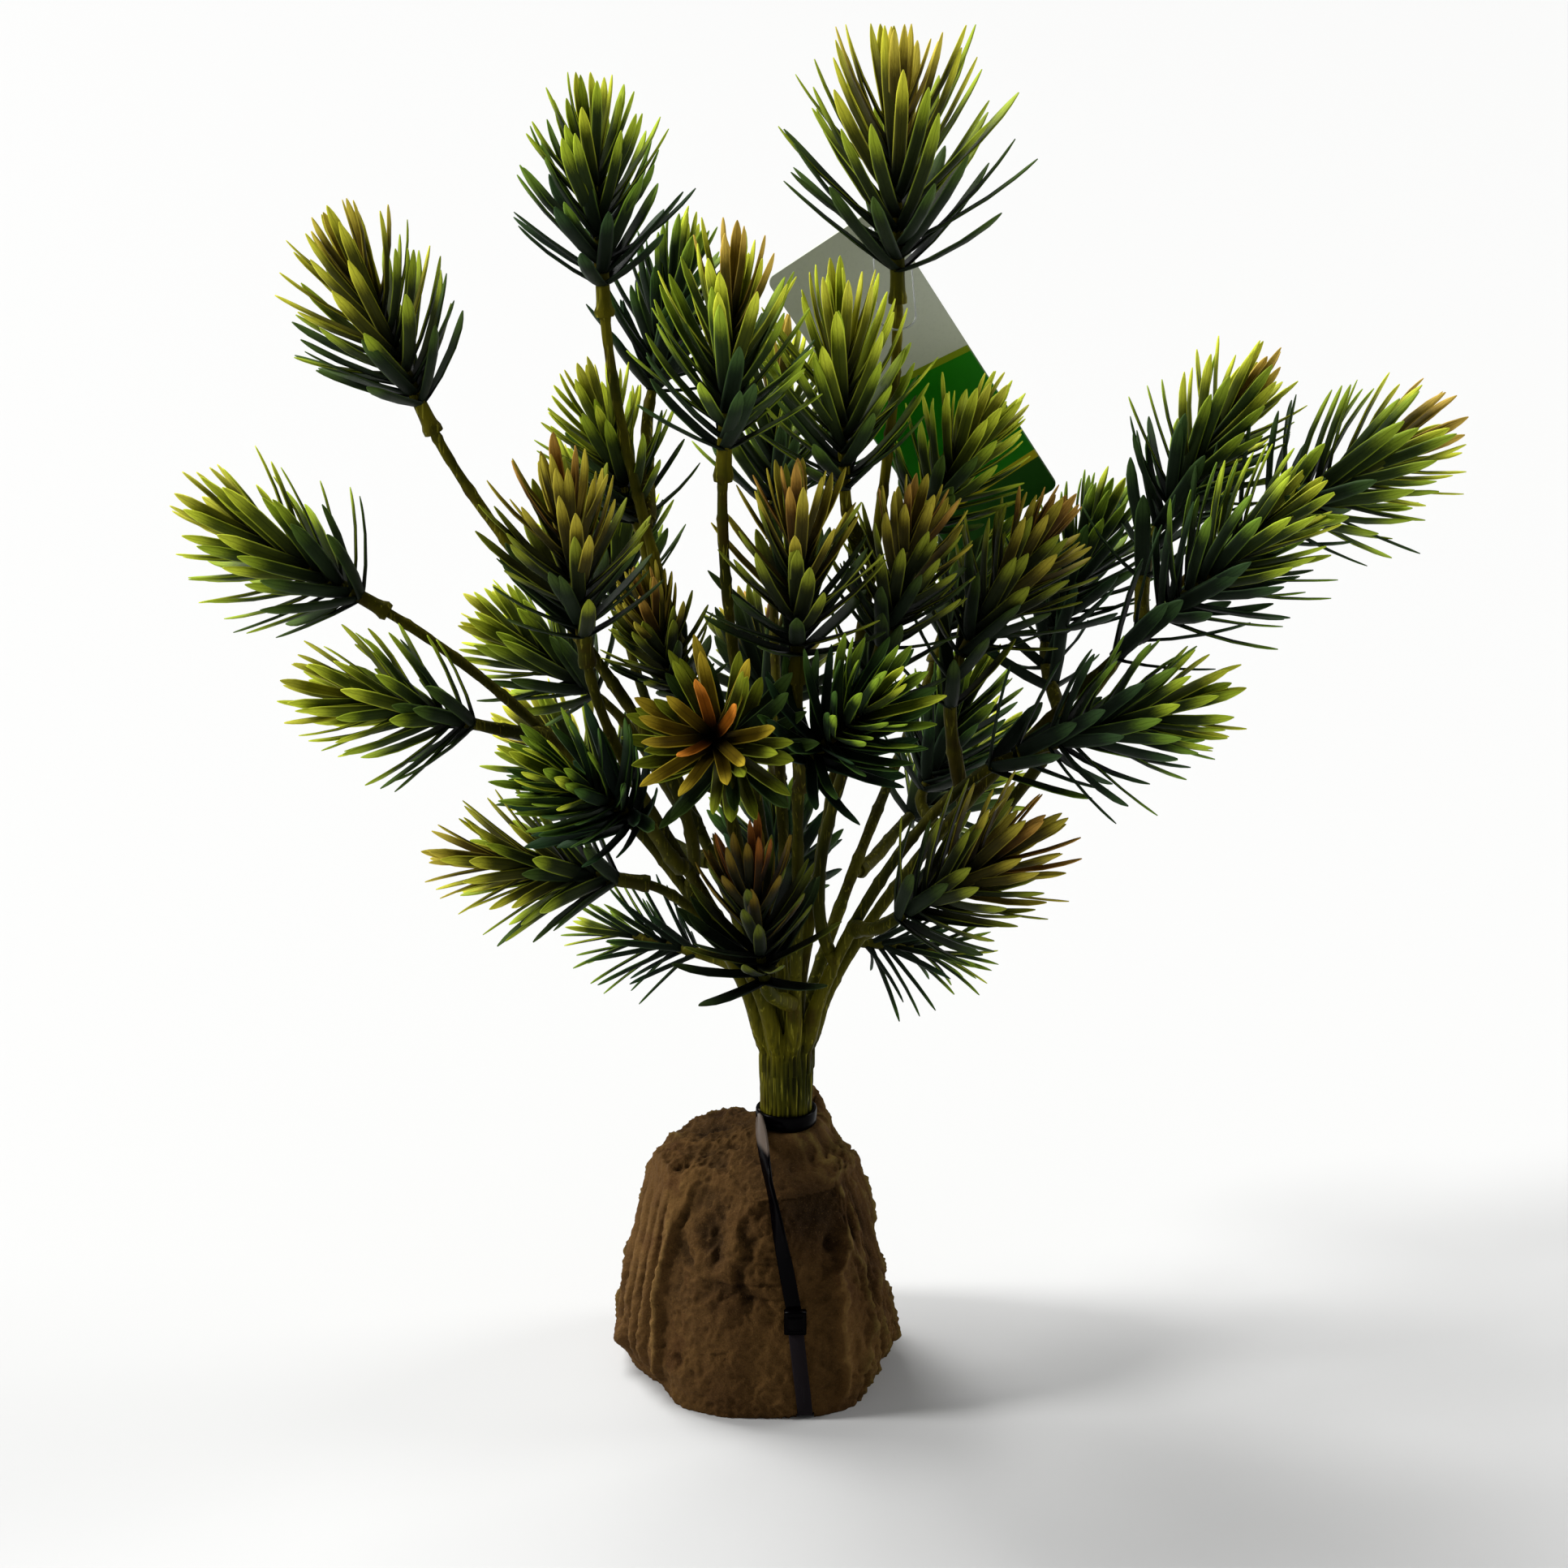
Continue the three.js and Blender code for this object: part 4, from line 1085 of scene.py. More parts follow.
# single dents: place across, height, half width, half height and depth
dents = [
    (-9.8, 41.8, 2.2, 5, 2),
    (-1.9, 41, 1.7, 3.8, 1.9),
    (-3.4, 35.2, 1.5, 2.4, 1.4),
    (-1.8, 29.2, 1.6, 2, 1.3),
    (-10.2, 31.2, 2.2, 1.7, 1.4),
    (17.1, 39.8, 1.5, 1.9, 2.2),
    (-14.8, 9.3, 0.8, 1.1, 0.8),
    (-18.1, 11.5, 0.7, 1.2, 0.8),
    (-13.2, 17.1, 0.8, 1.1, 0.7),
    (-9.6, 27.4, 0.9, 1.0, 0.8),
    (-12.4, 10.6, 0.6, 0.9, 0.6),
    (-15.6, 19.5, 0.7, 1.0, 0.6),
]
recess = (12.2, 49.5, 7.5, 6, 2)  # the smooth hollow right of the strap

# cracks that run across the front: height, from and to across, depth
cracks = [
    (32.6, -14, 6, 0.6),
    (29.3, -8, 6, 0.55),
    (36.6, -1, 6, 0.4),
    (38.3, -4, 5.5, 0.4),
    (40.1, -2, 5, 0.35),
]

# edges where a face steps back: turn and height at points from the top down, how deep, and to which side
edges = [
    ([(223, 54), (219.5, 42), (219, 33), (218, 23), (221, 12)], 2.3, 1),
    ([(322, 53), (318, 45), (307, 31), (305, 21), (306, 5)], 2.4, -1),
    ([(352, 50), (356, 30), (352, 8)], 1.2, -1),
    ([(30, 52), (24, 32), (31, 6)], 1.2, -1),
    ([(74, 52), (82, 34), (76, 5)], 1.1, 1),
    ([(128, 52), (120, 30), (129, 6)], 1.2, 1),
    ([(172, 50), (168, 30), (173, 8)], 0.9, -1),
]

# the top's dips: place, spread and depth
dips = [(-9.5, 1, 7, 2), (-6.6, -8, 3, 1.1), (-12, -8, 3, 1.1), (2, 14, 5, 1.2), (-14, 10, 5, 1)]

# flat faces that the round shape is cut to: a point on each, and the way that it faces
cuts = [
    ((-12, -14, 53.2), (-0.52, -0.73, 0.44)),
    ((-22.2, -8, 45), (-0.9, -0.35, 0.24)),
    ((2.5, -25.2, 48.9), (0.12, -0.46, 0.88)),
    ((24, -8, 44), (0.86, -0.36, 0.36)),
    ((-6, 22, 50), (-0.3, 0.8, 0.52)),
    ((18, 17, 46), (0.62, 0.66, 0.42)),
    ((-20, 13, 46), (-0.78, 0.52, 0.35)),
]


def rockRadius(turn, height):
    shape = rock
    across, along = abs(math.cos(turn)) / shape["halfWidth"], abs(math.sin(turn)) / shape["halfDepth"]
    power = shape["squareness"]
    outline = (across ** power + along ** power) ** (-1 / power)
    rise = height / shape["shoulder"]
    size, pitch, twist = shape["ledge"]
    relief = size * math.sin(height / pitch + turn * twist)
    for count, reach, phase, lean in shape["lobes"]:
        relief += reach * math.sin(turn * count + phase - height * lean)
    spurTurn, spread, spurHeight, tall, spurReach = shape["spur"]
    aside = (turn - math.radians(spurTurn)) / spread
    spur = spurReach * math.exp(-aside ** 2 - ((height - spurHeight) / tall) ** 2)
    tuck = shape["tuck"][1] * max(0, 1 - height / shape["tuck"][0]) ** 2
    return outline * (1 - shape["taper"] * rise ** 2.2) + relief * lerp(0.55, 1, rise) + spur - tuck


def rockTop(x, y):
    edge = rockRadius(math.atan2(y, x), rock["shoulder"])
    reach = min(1, math.hypot(x, y) / edge)
    dome = rock["shoulder"] + (rock["crest"] - rock["shoulder"]) * (1 - reach ** 1.8)
    hornX, hornY, hornHeight, spread = rock["horn"]
    away = ((x - hornX) ** 2 + (y - hornY) ** 2) / spread ** 2
    return dome + hornHeight * math.exp(-away) * (1 - reach ** 6)


def ridged(place, scale):  # noise with sharp crests, from about -1 to 0.5
    return 0.5 - abs(noise.noise(place * scale)) * 3


def inside(value, low, high, soft):
    return easeBetween(low - soft, low + soft, value) * (1 - easeBetween(high - soft, high + soft, value))


def flutesOn(place, degrees):
    low, high, pitch, depth = rockFace["flutes"]
    drift = 1.3 * noise.noise(Vector((place.x * 0.1, place.y * 0.1, place.z * 0.05)))
    arc = math.radians(degrees) * rock["halfWidth"] + drift
    flute = abs(math.sin(math.pi * arc / pitch)) ** 0.6 - 0.7
    relief = depth * flute * inside(degrees, low, high, 4)
    return relief * easeBetween(50, 40, place.z) * easeBetween(1, 8, place.z)


def cragsOn(place, degrees):  # steep broken rock on the right and the back
    upright = Vector((place.x, place.y, place.z * 0.24))
    broken = ridged(upright + Vector((7, 0, 0)), 0.2) + 0.6 * ridged(upright + Vector((0, 9, 0)), 0.45)
    broken += 0.35 * ridged(upright, 1)
    return rockFace["crags"] * cragShare(degrees) * broken * 0.5


def cragShare(degrees):
    return easeBetween(310, 322, degrees) if degrees > 250 else 1 - easeBetween(166, 180, degrees)


def pocksOn(place):  # thumb-sized hollows that run into each other
    left, right, low, high = rockFace["pocked"]
    share = inside(place.x, left, right, 3) * inside(place.z, low, high, 4)
    if share == 0:
        return 0
    spots = Vector((place.x * 0.21, place.y * 0.21, place.z * 0.14)) + noise.noise_vector(place * 0.22) * 0.4
    distances, centres = noise.voronoi(spots)
    bowl = easeBetween(0.85, 0.05, distances[0]) * lerp(0.3, 1, noise.cell(centres[0] * 7) * 0.5 + 0.5)
    blot = easeBetween(-0.15, 0.5, noise.noise(spots * 1.5 + Vector((4, 1, 0))))
    return -rockFace["pocks"] * share * (0.6 * bowl + 0.6 * blot)


def edgeSteps(place, degrees):
    relief = 0
    across = math.hypot(place.x, place.y)
    for line, depth, side in edges:
        heights, turns = [h for t, h in line][::-1], [t for t, h in line][::-1]
        aside = (degrees - np.interp(place.z, heights, turns) + 180) % 360 - 180
        away = math.radians(aside) * across * side
        away = away + 1.8 * noise.noise(place * 0.17) + 0.7 * noise.noise(place * 0.5)
        if away > -5:
            lip = 0.45 * bell(away + 0.6, 1.1)
            back = (1 - math.exp(-away / 0.7)) * math.exp(-away / 9) if away > 0 else 0
            relief += depth * (lip - 0.75 * back) * easeBetween(0.5, 7, place.z)
    return relief


def dentsOn(place):
    relief = 0
    ragged = 1 + 0.5 * noise.noise(place * 0.7)
    for dentX, dentZ, width, height, depth in dents:
        away = ((place.x - dentX) / width) ** 2 + ((place.z - dentZ) / height) ** 2
        if away < 8:
            relief -= depth * ragged * math.exp(-away)
    for crackZ, start, end, depth in cracks:
        drift = place.z - crackZ - 0.8 * noise.noise(Vector((place.x * 0.25, crackZ, 0)))
        relief -= depth * bell(drift, 0.38) * inside(place.x, start, end, 1.5)
    return relief


def rippled(place, layers):  # noises laid over each other, each with its strength and scale
    return sum(strength * noise.noise(place * scale) for strength, scale in layers)


def carving(x, y, z):  # how far the carved face stands out of the round shape: all of it, and its hollows
    place = Vector((x, y, z))
    degrees = math.degrees(math.atan2(y, x)) % 360
    onTop = easeBetween(50, 54, z)
    onSide = 1 - onTop
    broad, fine = (rippled(place, rockFace[key]) for key in ("waves", "grain"))
    rough = 0.35 + 1.3 * abs(noise.noise(place * 0.09 + Vector((5, 3, 0))))
    fine += rough * 0.32 * ridged(place, 0.55)
    hollows = edgeSteps(place, degrees) + cragsOn(place, degrees)
    hollows += flutesOn(place, degrees)
    if y < -6:
        hollows += pocksOn(place) + dentsOn(place)
        recessX, recessZ, width, height, depth = recess
        away = ((x - recessX) / width) ** 2 + ((z - recessZ) / height) ** 2
        broad -= depth * math.exp(-away)
    top = (ridged(place, 0.2) + 0.5 * ridged(place + Vector((3, 3, 0)), 0.5)) * 0.85
    for dipX, dipY, spread, depth in dips:
        top -= depth * bell(math.hypot(x - dipX, y - dipY), spread)
    toe = rockFace["toe"] * bell(degrees - 187, 7) * bell(z - 7.4, 2.6)
    for turn, spread, depth, height in rockFace["undercuts"]:
        toe -= depth * bell(degrees - turn, spread) * (1 - easeBetween(0, height, z))
    return broad + fine + hollows * onSide + top * onTop + toe, fine + hollows * onSide + top * onTop


def shadeOf(x, y, z):  # painted shade in the hollow right of the strap, and a darker tone in clouds over the top
    recessX, recessZ, width, height, depth = recess
    away = ((x - recessX - 1) / (width * 1.15)) ** 2 + ((z - recessZ + 2) / (height * 1.3)) ** 2
    # painted shade in the hollow right of the strap
    recessShade = 0.75 * math.exp(-away ** 1.5) if y < 0 else 0
    cloud = 0.5 + 0.8 * noise.noise(Vector((x, y, z)) * 0.16)
    return min(1, max(recessShade, 0.45 * easeBetween(50, 55, z) * min(1, max(0, cloud))))


def flatten(point, relief):  # cuts a point back to the flat faces
    for spot, way in cuts:
        way = unit(way)
        proud = (point - spot).dot(way) - 0.35 * relief
        if proud > 0:
            point = point - way * proud * 0.85
    return point


def seatBand(point):  # the top meets the strap's ring and has a socket for the trunk
    x, y, z = point
    fromTrunk = math.hypot(x - trunk["x"], y)
    outer = band["inner"] + band["thick"] + 0.35
    if z < rock["shoulder"] - 4 or fromTrunk > outer + 4.5:
        return point
    seat = lerp(band["foot"] - 0.3, z, easeBetween(outer, outer + 4.5, fromTrunk))
    z = min(seat, band["foot"] - 0.3) if fromTrunk < outer else seat
    return np.array([x, y, trunk["foot"] - 0.3 if fromTrunk < band["inner"] - 0.05 else z])


def roundRock():  # the shape that the solid has, as a grid of rows from the foot to the crown
    look = rockFace
    points = []
    for row in range(look["sideRows"] + look["topRows"]):
        inward = max(0, (row - look["sideRows"]) / look["topRows"])
        height = rock["shoulder"] * min(1, row / look["sideRows"])
        for k in range(look["around"]):
            turn = math.remainder(2 * math.pi * k / look["around"], 2 * math.pi)
            radius = rockRadius(turn, height) * (1 - inward)
            x, y = math.cos(turn) * radius, math.sin(turn) * radius
            points.append((x, y, rockTop(x, y) if inward > 0 else height))
    return points


def makeRock(finish):
    points, count = roundRock(), rockFace["around"]
    rows = len(points) // count
    crown, foot = len(points), len(points) + 1
    points += [(0, 0, rockTop(0, 0)), (0, 0, 0)]
    faces = rowFaces(rows, count)
    faces += [((rows - 1) * count + k, (rows - 1) * count + (k + 1) % count, crown) for k in range(count)]
    faces += [((k + 1) % count, k, foot) for k in range(count)]
    mesh = toMesh("rock", points, faces)
    faceOutwards(mesh)
    normals = np.empty(len(points) * 3)
    mesh.vertices.foreach_get("normal", normals)
    carved, layers = [], {"relief": [], "crag": [], "shade": []}
    for point, normal in zip(np.array(points), normals.reshape(-1, 3)):
        level = normal if point[2] > 3 else unit((point[0] + 1e-6, point[1], 0))
        relief, hollow = carving(*point)
        if point[0] == point[1] == point[2] == 0:
            relief = 0
        spot = flatten(point + level * relief, relief)
        spot[2] = 0 if point[2] == 0 else max(spot[2], 0.02)
        carved.append(seatBand(spot))
        layers["relief"].append(hollow)
        layers["crag"].append(cragShare(math.degrees(math.atan2(point[1], point[0])) % 360))
        layers["shade"].append(shadeOf(*point))
    mesh.vertices.foreach_set("co", (np.array(carved) * mm).ravel())
    for name, values in layers.items():
        addLayer(mesh, name, values)
    mesh.materials.append(finish)
    made = toObject("rock", mesh)
    size = (tie["width"] + 0.6, 90, 2 * rockFace["groove"])
    cutter = toObject("grooveCutter", boxMesh((tie["footX"], 0, 0), size))
    groove = made.modifiers.new("strapGroove", "BOOLEAN")
    groove.operation = "DIFFERENCE"
    groove.solver = "MANIFOLD"
    groove.object = cutter
    plain(made)
    bpy.data.objects.remove(cutter)
    smooth(made.data)
    addPiece(made, "rock", "rock_base")
    return made


def boxMesh(middle, size):
    signs = [(x, y, z) for x in (-1, 1) for y in (-1, 1) for z in (-1, 1)]
    corners = [np.array(middle) + np.array(sign) * size / 2 for sign in signs]
    faces = [(0, 1, 3, 2), (4, 6, 7, 5), (0, 4, 5, 1), (2, 3, 7, 6), (0, 2, 6, 4), (1, 5, 7, 3)]
    mesh = toMesh("box", corners, faces)
    faceOutwards(mesh)
    return mesh


rockLook = {
    "sand": paint(92, 66, 33),
    "clay": paint(68, 46, 22),
    # dark specks of the grain, and painted shade in the hollows
    "speckAndHollowShade": paint(20, 12, 4),
    "shade": paint(22, 14, 6),
    "rust": paint(54, 28, 11),
    # light specks of the grain, and painted highlight on the raised parts
    "crest": paint(122, 94, 52),
    # painted highlight on the ridges of the crags
    "cragHighlight": paint(104, 88, 44),
    "grain": 2600,
    "roughness": 0.9,
    "gloss": 0.06,
}


def rockMaterial():
    look = rockLook
    maker = Finish("sandyRock")
    place = maker.place()
    broad = maker.noise(place, 40, 4, 0.6)
    speckle = maker.noise(place, look["grain"], 3, 0.7)
    grit = maker.noise(place, 900, 4, 0.65)
    relief, shade, crag = (maker.layer(name) for name in ("relief", "shade", "crag"))
    base = maker.coats(
        look["clay"],
        (maker.ease(broad, 0.3, 0.7), look["sand"]),
        (maker.ease(maker.noise(place, 75, 3), 0.58, 0.74) * 0.55, look["rust"]),
        # painted highlight: the raised parts lightened
        (maker.ease(relief + (grit - 0.5) * 0.6, 0.3, 1.2) * 0.55, look["crest"]),
        # painted shade: the hollows darkened
        (maker.ease(relief + (grit - 0.5) * 1.2, 0, -3) * 0.72, look["speckAndHollowShade"]),
        (shade, look["shade"]),
        # painted highlight: the crags' raised parts lightened, as light from the right catches them
        (crag * maker.ease(relief + (grit - 0.5) * 0.8, -0.6, 0.9) * 0.7, look["cragHighlight"]),
        (maker.ease(speckle, 0.56, 0.72) * 0.35, look["crest"]),
        (maker.ease(speckle, 0.44, 0.3) * 0.4, look["speckAndHollowShade"]))
    grain = grit * 0.7 + speckle * 0.5
    return maker.close(base, look["roughness"] - 0.1 * grit, look["gloss"], grain, 0.8, 0.0006)


rockPiece = makeRock(rockMaterial())


# The tie strap

rockTree = BVHTree.FromPolygons([v.co / mm for v in rockPiece.data.vertices],
                                [tuple(p.vertices) for p in rockPiece.data.polygons])


def meetRock(start, way):
    return np.array(rockTree.ray_cast(Vector(start), Vector(way))[0])


def downTheRock(side, heights, across):  # points on the rock's face under the strap
    return [meetRock((x, side * 90, max(z, 0.05)), (0, -side, 0)) for z, x in zip(heights, across)]


def overTheRock(side, fromX, toX, startY, endY, count):
    spots = [(lerp(fromX, toX, s), lerp(startY, endY, s)) for s in np.linspace(0.12, 1, count)]
    return [meetRock((x, y, 90), (0, 0, -1)) for x, y in spots]


def strapStations(points, wides, lift):  # evened out, lifted off the rock, and each with its width's way
    line = np.array(points)
    for turn in range(2):
        line[1:-1] = (line[:-2] + 2 * line[1:-1] + line[2:]) / 4
    stations = []
    for i, point in enumerate(line):
        way = unit(line[min(i + 1, len(line) - 1)] - line[max(i - 1, 0)])
        wide = np.array(wides[i], float)
        side = unit(wide - way * wide.dot(way))
        outwards = unit(np.cross(side, way))
        if outwards.dot(point - np.array([trunk["x"], 0, 25])) < 0:
            outwards = -outwards
        stations.append((point + outwards * lift, side, outwards))
    return stations


def strapMesh(name, stations, finish):
    half, thin, r = tie["width"] / 2, tie["thick"] / 2, tie["rounding"]
    corners = [(half, thin - r), (half - r * 0.3, thin - r * 0.3), (half - r, thin), (0, thin * 0.92)]
    upper = corners + [(-x, z) for x, z in reversed(corners[:-1])]
    section = upper + [(x, -z) for x, z in reversed(upper) if abs(x) > 0.1]
    points = [point + side * x + outwards * z for point, side, outwards in stations for x, z in section]
    rows, count = len(stations), len(section)
    ends = [tuple(range(count)), tuple(reversed(range((rows - 1) * count, rows * count)))]
    return finished(name, toMesh(name, points, rowFaces(rows, count) + ends), finish)


nylons = {  # tone, roughness, how scuffed, gloss, and from which height up a painted reflection lightens it, in metres
    "glossyNylon": (paint(2, 1, 2), 0.14, 0.04, 0.025, 1),
    "turnedNylon": (paint(2, 1, 2), 0.14, 0.04, 0.025, 0.059),
    "mattNylon": (paint(24, 19, 22), 0.5, 0.2, 0.05, 1),
}
nylonScuff = paint(70, 70, 74)
# painted reflection: the pale grey that the strap's twisted top takes on
nylonReflection = paint(84, 74, 66)


def nylonMaterial(name):
    tone, roughness, scuff, gloss, reflectionFrom = nylons[name]
    maker = Finish(name)
    place = maker.place()
    cloudy = maker.noise(place, 300, 3)
    scratches = maker.noise(maker.place((1, 1, 0.08)), 2600, 2)
    worn = maker.ease(scratches, 0.6, 0.75) * maker.ease(cloudy, 0.4, 0.65)
    # painted reflection: above that height the strap turns pale grey, as if its flat side reflected the
    # bright room
    pale = maker.ease(maker.parts(place)[2], reflectionFrom, reflectionFrom + 0.0012)
    base = maker.coats(tone, (worn * scuff, nylonScuff), (pale, nylonReflection))
    return maker.close(base, roughness + 0.18 * cloudy, gloss, scratches, 0.15, 0.0001)


def ringBand(finish):  # the strap's turn round the trunk's foot, with its edges rounded
    inner, outer = band["inner"] + 0.02, band["inner"] + band["thick"]
    low, high, r = band["foot"], band["foot"] + band["height"], 0.25
    section = [(inner, low + 0.1), (outer - r, low), (outer - r * 0.3, low + r * 0.3), (outer, low + r),
               (outer + 0.05, (low + high) / 2), (outer, high - r), (outer - r * 0.3, high - r * 0.3),
               (outer - r, high), (inner, high - 0.1)]
    around, count, points, faces = 96, len(section), [], []
    for k in range(around):
        turn = 2 * math.pi * k / around
        waver = 0.06 * math.sin(turn * 3 + 1)
        points += [(trunk["x"] + radius * math.cos(turn), radius * math.sin(turn), z + waver)
                   for radius, z in section]
        here, after = k * count, ((k + 1) % around) * count
        faces += [(here + i, after + i, after + (i + 1) % count, here + (i + 1) % count)
                  for i in range(count)]
    return finished("tie_band_ring", toMesh("tie_band_ring", points, faces), finish)


# The upper strap from the ring to the rock's shoulder, and the way of its width at each point
twist = [
    ((0.3, -1.2, 61.7), (0.15, 0, 1)),
    ((0.6, -4.5, 61.6), (0.4, 0, 1)),
    ((0.9, -8.5, 61.2), (0.62, 0, 1)),
    ((1.3, -12.5, 60.4), (0.7, -0.1, 1)),
    ((1.8, -16.5, 59.2), (0.66, -0.4, 0.9)),
    ((2.3, -20.5, 57.2), (0.5, -0.7, 0.7)),
    ((2.7, -23.8, 54.5), (0.4, -0.95, 0.3)),
]


def upperStrap(finish):
    heights = np.linspace(rock["shoulder"] - 1, tieHead["z"] + tieHead["height"] / 2 - 0.5, tie["rows"])
    down = downTheRock(-1, heights, np.linspace(tie["shoulderX"], tieHead["x"] - 0.3, tie["rows"]))
    points, wides = [np.array(point) for point, wide in twist], [wide for point, wide in twist]
    for i, point in enumerate(down):
        turned = math.radians(lerp(tie["leaning"], 90, easeBetween(-3, len(down) - 3, i)))
        stand = tie["lift"] + tie["width"] / 2 * math.cos(turned)
        points.append(point - np.array([0, stand, 0]))
        wides.append((math.sin(turned), -math.cos(turned), 0))
    return strapMesh("tie_upper", strapStations(points, wides, 0), finish)


def lowerStrap(finish):
    down = np.linspace(tieHead["z"] - tieHead["height"] / 2 + 0.4, 1.5, 12)
    front = downTheRock(-1, down, np.linspace(tieHead["x"] + 0.1, tie["footX"], 12))
    frontFoot, backFoot = (meetRock((tie["footX"], side * 90, 1.6), (0, -side, 0))[1] for side in (-1, 1))
    inGroove = tie["thick"] / 2 + 0.05
    under = [(tie["footX"], y, inGroove - tie["lift"]) for y in np.linspace(frontFoot, backFoot, 14)]
    rise = np.linspace(1.5, rock["shoulder"] - 3, tie["rows"])
    back = downTheRock(1, rise, np.linspace(tie["footX"], tie["backX"], tie["rows"]))
    ringY = math.sqrt((band["inner"] + band["thick"]) ** 2 - (trunk["x"] - tie["backX"]) ** 2)
    roof = overTheRock(1, tie["backX"], tie["backX"], ringY + 1, back[-1][1] - 2, 7)[::-1]
    ringSpot = np.array([tie["backX"], ringY + 0.5, band["foot"] + 0.6])
    points = [*front, *under, *back, *roof, ringSpot]
    stations = strapStations(points, [(1, 0, 0)] * len(points), tie["lift"])
    stations = [(np.array([p[0], p[1], max(p[2], inGroove)]), side, out) for p, side, out in stations]
    return strapMesh("tie_lower", stations, finish)


def headBlock(finish):  # the tie's square head, with its sunk window
    look = tieHead
    y = meetRock((look["x"], -90, look["z"]), (0, 1, 0))[1] - 0.3 - look["depth"] / 2
    work = bmesh.new()
    bmesh.ops.create_cube(work, size=1)
    for vertex in work.verts:
        vertex.co *= Vector((look["width"], look["depth"], look["height"]))
    front = min(work.faces, key=lambda face: face.calc_center_median().y)
    bmesh.ops.inset_individual(work, faces=[front], thickness=(look["width"] - look["window"]) / 2, depth=0)
    bmesh.ops.translate(work, verts=front.verts, vec=(0, look["sink"], 0))
    bmesh.ops.inset_individual(work, faces=[front], thickness=look["lip"], depth=0)
    bmesh.ops.translate(work, verts=front.verts, vec=(0, -look["rise"], 0))
    edges = list(work.edges)
    bmesh.ops.bevel(work, geom=edges, offset=look["bevel"], segments=3, affect="EDGES", clamp_overlap=True)
    mesh = keepWork(work, "tie_head_block")
    for vertex in mesh.vertices:
        vertex.co = (vertex.co + Vector((look["x"], y, look["z"]))) * mm
    return finished("tie_head_block", mesh, finish)


def makeTie():
    gloss, turned, matt = (nylonMaterial(name) for name in nylons)
    for made, node in ((ringBand(gloss), "tie_band"), (upperStrap(turned), "tie_upper_strap"),
                       (headBlock(gloss), "tie_head"), (lowerStrap(matt), "tie_lower_strap")):
        addPiece(made, "tie", node)


makeTie()


# The hang tag and its thread

tagPrint = {
    "grey": paint(204, 209, 190),
    "lime": paint(132, 152, 10),
    "green": paint(26, 130, 3),
    "deepGreen": paint(28, 84, 4),
    "yellow": paint(192, 182, 24),
    "greyEnd": 0.48,
    "limeEnd": 0.5,
    "stripe": (0.86, 0.885),
    "roughness": 0.38,
    "gloss": 0.12,
}


def cardMaterial():
    look = tagPrint
    maker = Finish("printedCard")
    u, v = maker.chart()
    down = v + 0.05 * u
    fibres = maker.noise(maker.place(), 1400, 3)
    low, high = look["stripe"]
    wear = maker.ease(maker.math("ABSOLUTE", u - 0.5), 0.485, 0.5)
    base = maker.coats(
        look["grey"],
        (maker.over(down, look["greyEnd"]), look["lime"]),
        (maker.over(down, look["limeEnd"]), look["green"]),
        (maker.over(v, high), look["deepGreen"]),
        (maker.over(v, low) * maker.math("LESS_THAN", v, high), look["yellow"]),
        (wear * 0.5, look["grey"]),
        ((fibres - 0.5) * 0.25, look["deepGreen"]))
    return maker.close(base, look["roughness"] + 0.1 * fibres, look["gloss"], fibres, 0.08, 0.0001)


def onCircle(middleX, middleY, radius, turn):
    return (middleX + radius * math.cos(turn), middleY + radius * math.sin(turn), 0)


def makeCard():
    look = tag
    work = bmesh.new()
    outline = []
    for cornerX, cornerY, startTurn in ((look["width"], 0, -90), (look["width"], look["length"], 0),
                                        (0, look["length"], 90), (0, 0, 180)):
        centreX = cornerX - look["rounding"] * (1 if cornerX else -1)
        centreY = cornerY - look["rounding"] * (1 if cornerY else -1)
        for step in range(7):
            turn = math.radians(startTurn + 15 * step)
            outline.append(onCircle(centreX, centreY, look["rounding"], turn))
    middle, sides = look["inset"], look["holeSides"]
    hole = [onCircle(middle, middle, look["hole"], 2 * math.pi * k / sides) for k in range(sides)]
    edges = []
    for loop in (outline, hole):
        line = [work.verts.new(spot) for spot in loop]
        edges += [work.edges.new((line[i], line[(i + 1) % len(line)])) for i in range(len(line))]
    bmesh.ops.triangle_fill(work, edges=edges, use_beauty=True, normal=(0, 0, 1))
    work.normal_update()
    grown = bmesh.ops.extrude_face_region(work, geom=list(work.faces))
    lifted = [item for item in grown["geom"] if isinstance(item, bmesh.types.BMVert)]
    bmesh.ops.translate(work, verts=lifted, vec=(0, 0, look["thick"] * 0.8))
    chart = work.loops.layers.uv.new("OFBake")
    for face in work.faces:
        for corner in face.loops:
            x, y = corner.vert.co.x, corner.vert.co.y
            corner[chart].uv = (x / look["width"], y / look["length"])
    mesh = keepWork(work, "hang_tag_card")
    for vertex in mesh.vertices:
        across, down, through = vertex.co
        vertex.co = Vector(onTag(down, across, through)) * mm
    mesh.materials.append(cardMaterial())
    faceOutwards(mesh)
    addPiece(toObject("hang_tag_card", mesh), "card", "tag_card")


def threadMaterial():
    maker = Finish("clearThread")
    cloudy = maker.noise(maker.place(), 500, 2)
    maker.put(maker.shader.inputs["Transmission Weight"], 0.6)
    base = maker.mix(cloudy, paint(178, 182, 176), paint(206, 210, 206))
    return maker.close(base, 0.18 + 0.1 * cloudy)


thread = {"at": 0.965, "halfWidth": 4, "beyond": 2, "snug": 1.9, "radius": 0.2, "points": 64, "sides": 10}


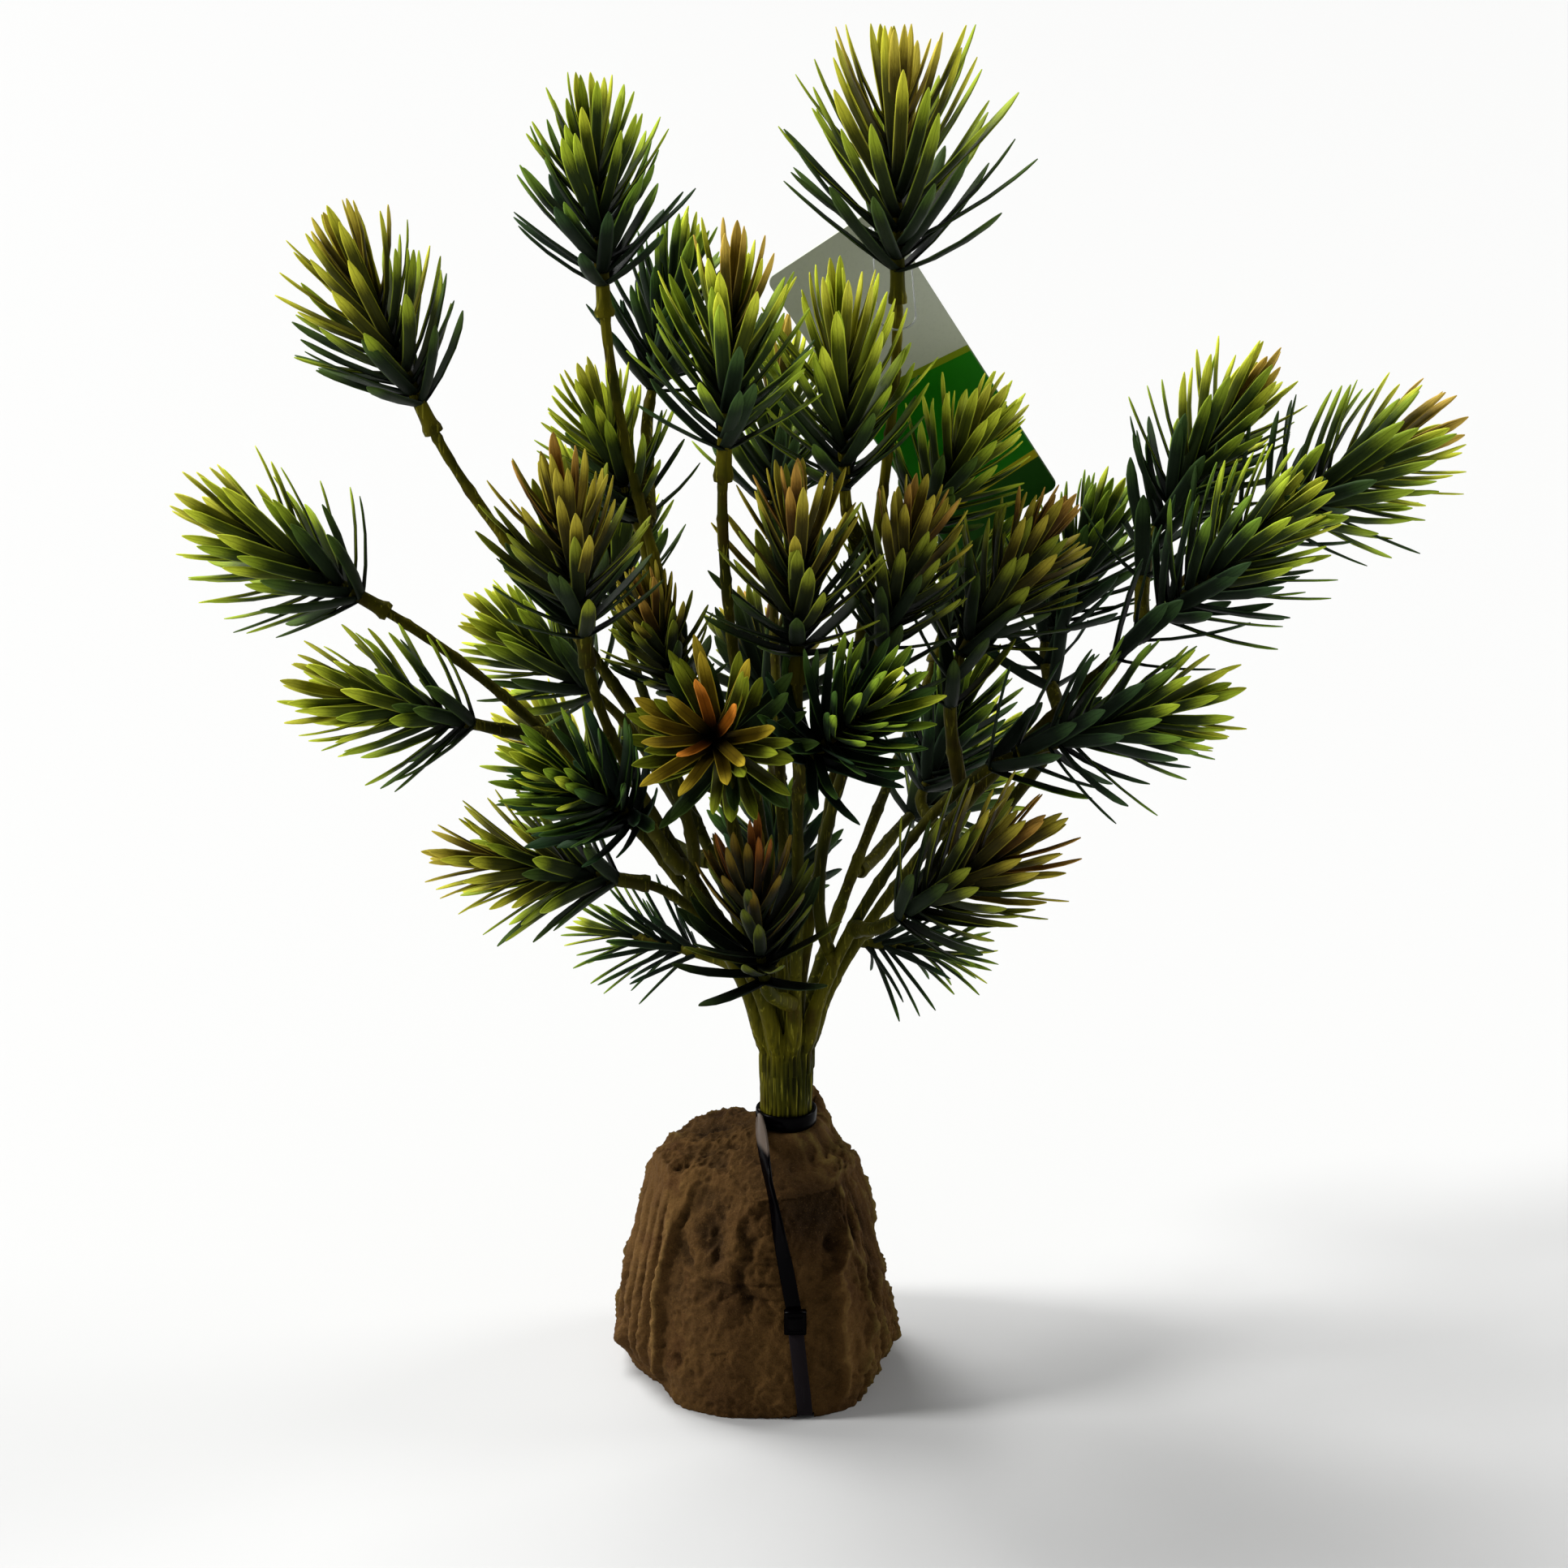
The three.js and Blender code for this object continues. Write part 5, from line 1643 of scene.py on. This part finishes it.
def makeThread():
    look = thread
    front = boughRoutes["centre_top"].at(look["at"])
    back = onTag(tag["inset"], tag["inset"]) + np.array([look["halfWidth"], 0, 0])
    way = back - front
    reach = np.linalg.norm(way) + look["beyond"]
    way = unit(way)
    across = unit(np.array([1, 0, 0]) - way * way[0])
    middle = front + way * (reach / 2 + look["snug"])
    points = []
    for step in range(look["points"]):
        turn = 2 * math.pi * step / look["points"]
        along = math.copysign(reach / 2, math.cos(turn)) + look["halfWidth"] * math.cos(turn)
        points.append(middle + way * along + across * look["halfWidth"] * math.sin(turn))
    mesh = toMesh("thread", points, (), [(i, (i + 1) % len(points)) for i in range(len(points))])
    addLayer(mesh, "thick", np.full(len(points), look["radius"] * mm))
    made = toObject("tag_thread", mesh)
    finish = threadMaterial()
    runTree(made, *tubes, {"Sides": look["sides"], "Flutes": 2, "Flute depth": 0.0, "Finish": finish})
    faceOutwards(made.data)
    smooth(made.data)
    addPiece(made, "thread", "tag_loop")


makeCard()
makeThread()


# The stage: a pale floor, soft light and the camera

stage = {
    "floorTone": (0.55, 0.55, 0.545),
    "sky": 0.2,
    "floorHalf": 60,  # metres
    "camera": (0.0062, -0.59598, 0.31113),
    "pitch": 74,
    "lens": 64.27,
}

# soft lights: where each comes from, its strength and its spread in degrees
lights = {
    "backLight": ((-0.6, 0.6, 1.15), 3.9, 34),
    "leftLight": ((-1, -0.1, 0.62), 2.6, 12),
    "rightLight": ((1, 0.3, 0.5), 1.2, 24),
}


def makeStage():
    half = stage["floorHalf"] / mm
    corners = [(-half, -half, 0), (half, -half, 0), (half, half, 0), (-half, half, 0)]
    floor = toObject("floor", toMesh("floor", corners, [(0, 1, 2, 3)]))
    floor.data.materials.append(Finish("paleFloor").close(stage["floorTone"], 0.8, 0.1))
    floor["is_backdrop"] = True
    for name, (fromPlace, strength, spread) in lights.items():
        lamp = bpy.data.lights.new(name, "SUN")
        lamp.energy = strength
        lamp.angle = math.radians(spread)
        holder = bpy.data.objects.new(name, lamp)
        bpy.context.scene.collection.objects.link(holder)
        holder.location = fromPlace
        holder.rotation_euler = Vector(fromPlace).to_track_quat("Z", "Y").to_euler()
    world = bpy.data.worlds.new("softSky")
    world.use_nodes = True
    background = world.node_tree.nodes["Background"]
    background.inputs["Color"].default_value = (0.97, 0.98, 1, 1)
    background.inputs["Strength"].default_value = stage["sky"]
    bpy.context.scene.world = world
    bpy.context.scene.view_settings.view_transform = "Standard"


def makeCamera():
    camera = bpy.data.cameras.new("camera")
    camera.lens = stage["lens"]
    camera.sensor_width = 36
    holder = bpy.data.objects.new("camera", camera)
    holder.location = stage["camera"]
    holder.rotation_euler = (math.radians(stage["pitch"]), 0, 0)
    bpy.context.scene.collection.objects.link(holder)
    bpy.context.scene.camera = holder


makeStage()
makeCamera()

madeLow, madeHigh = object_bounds()
for label, box in (("made", (*madeLow, *madeHigh)), ("solids", (*cadLow, *cadHigh))):
    print(label, [round(value / mm, 1) for value in box])
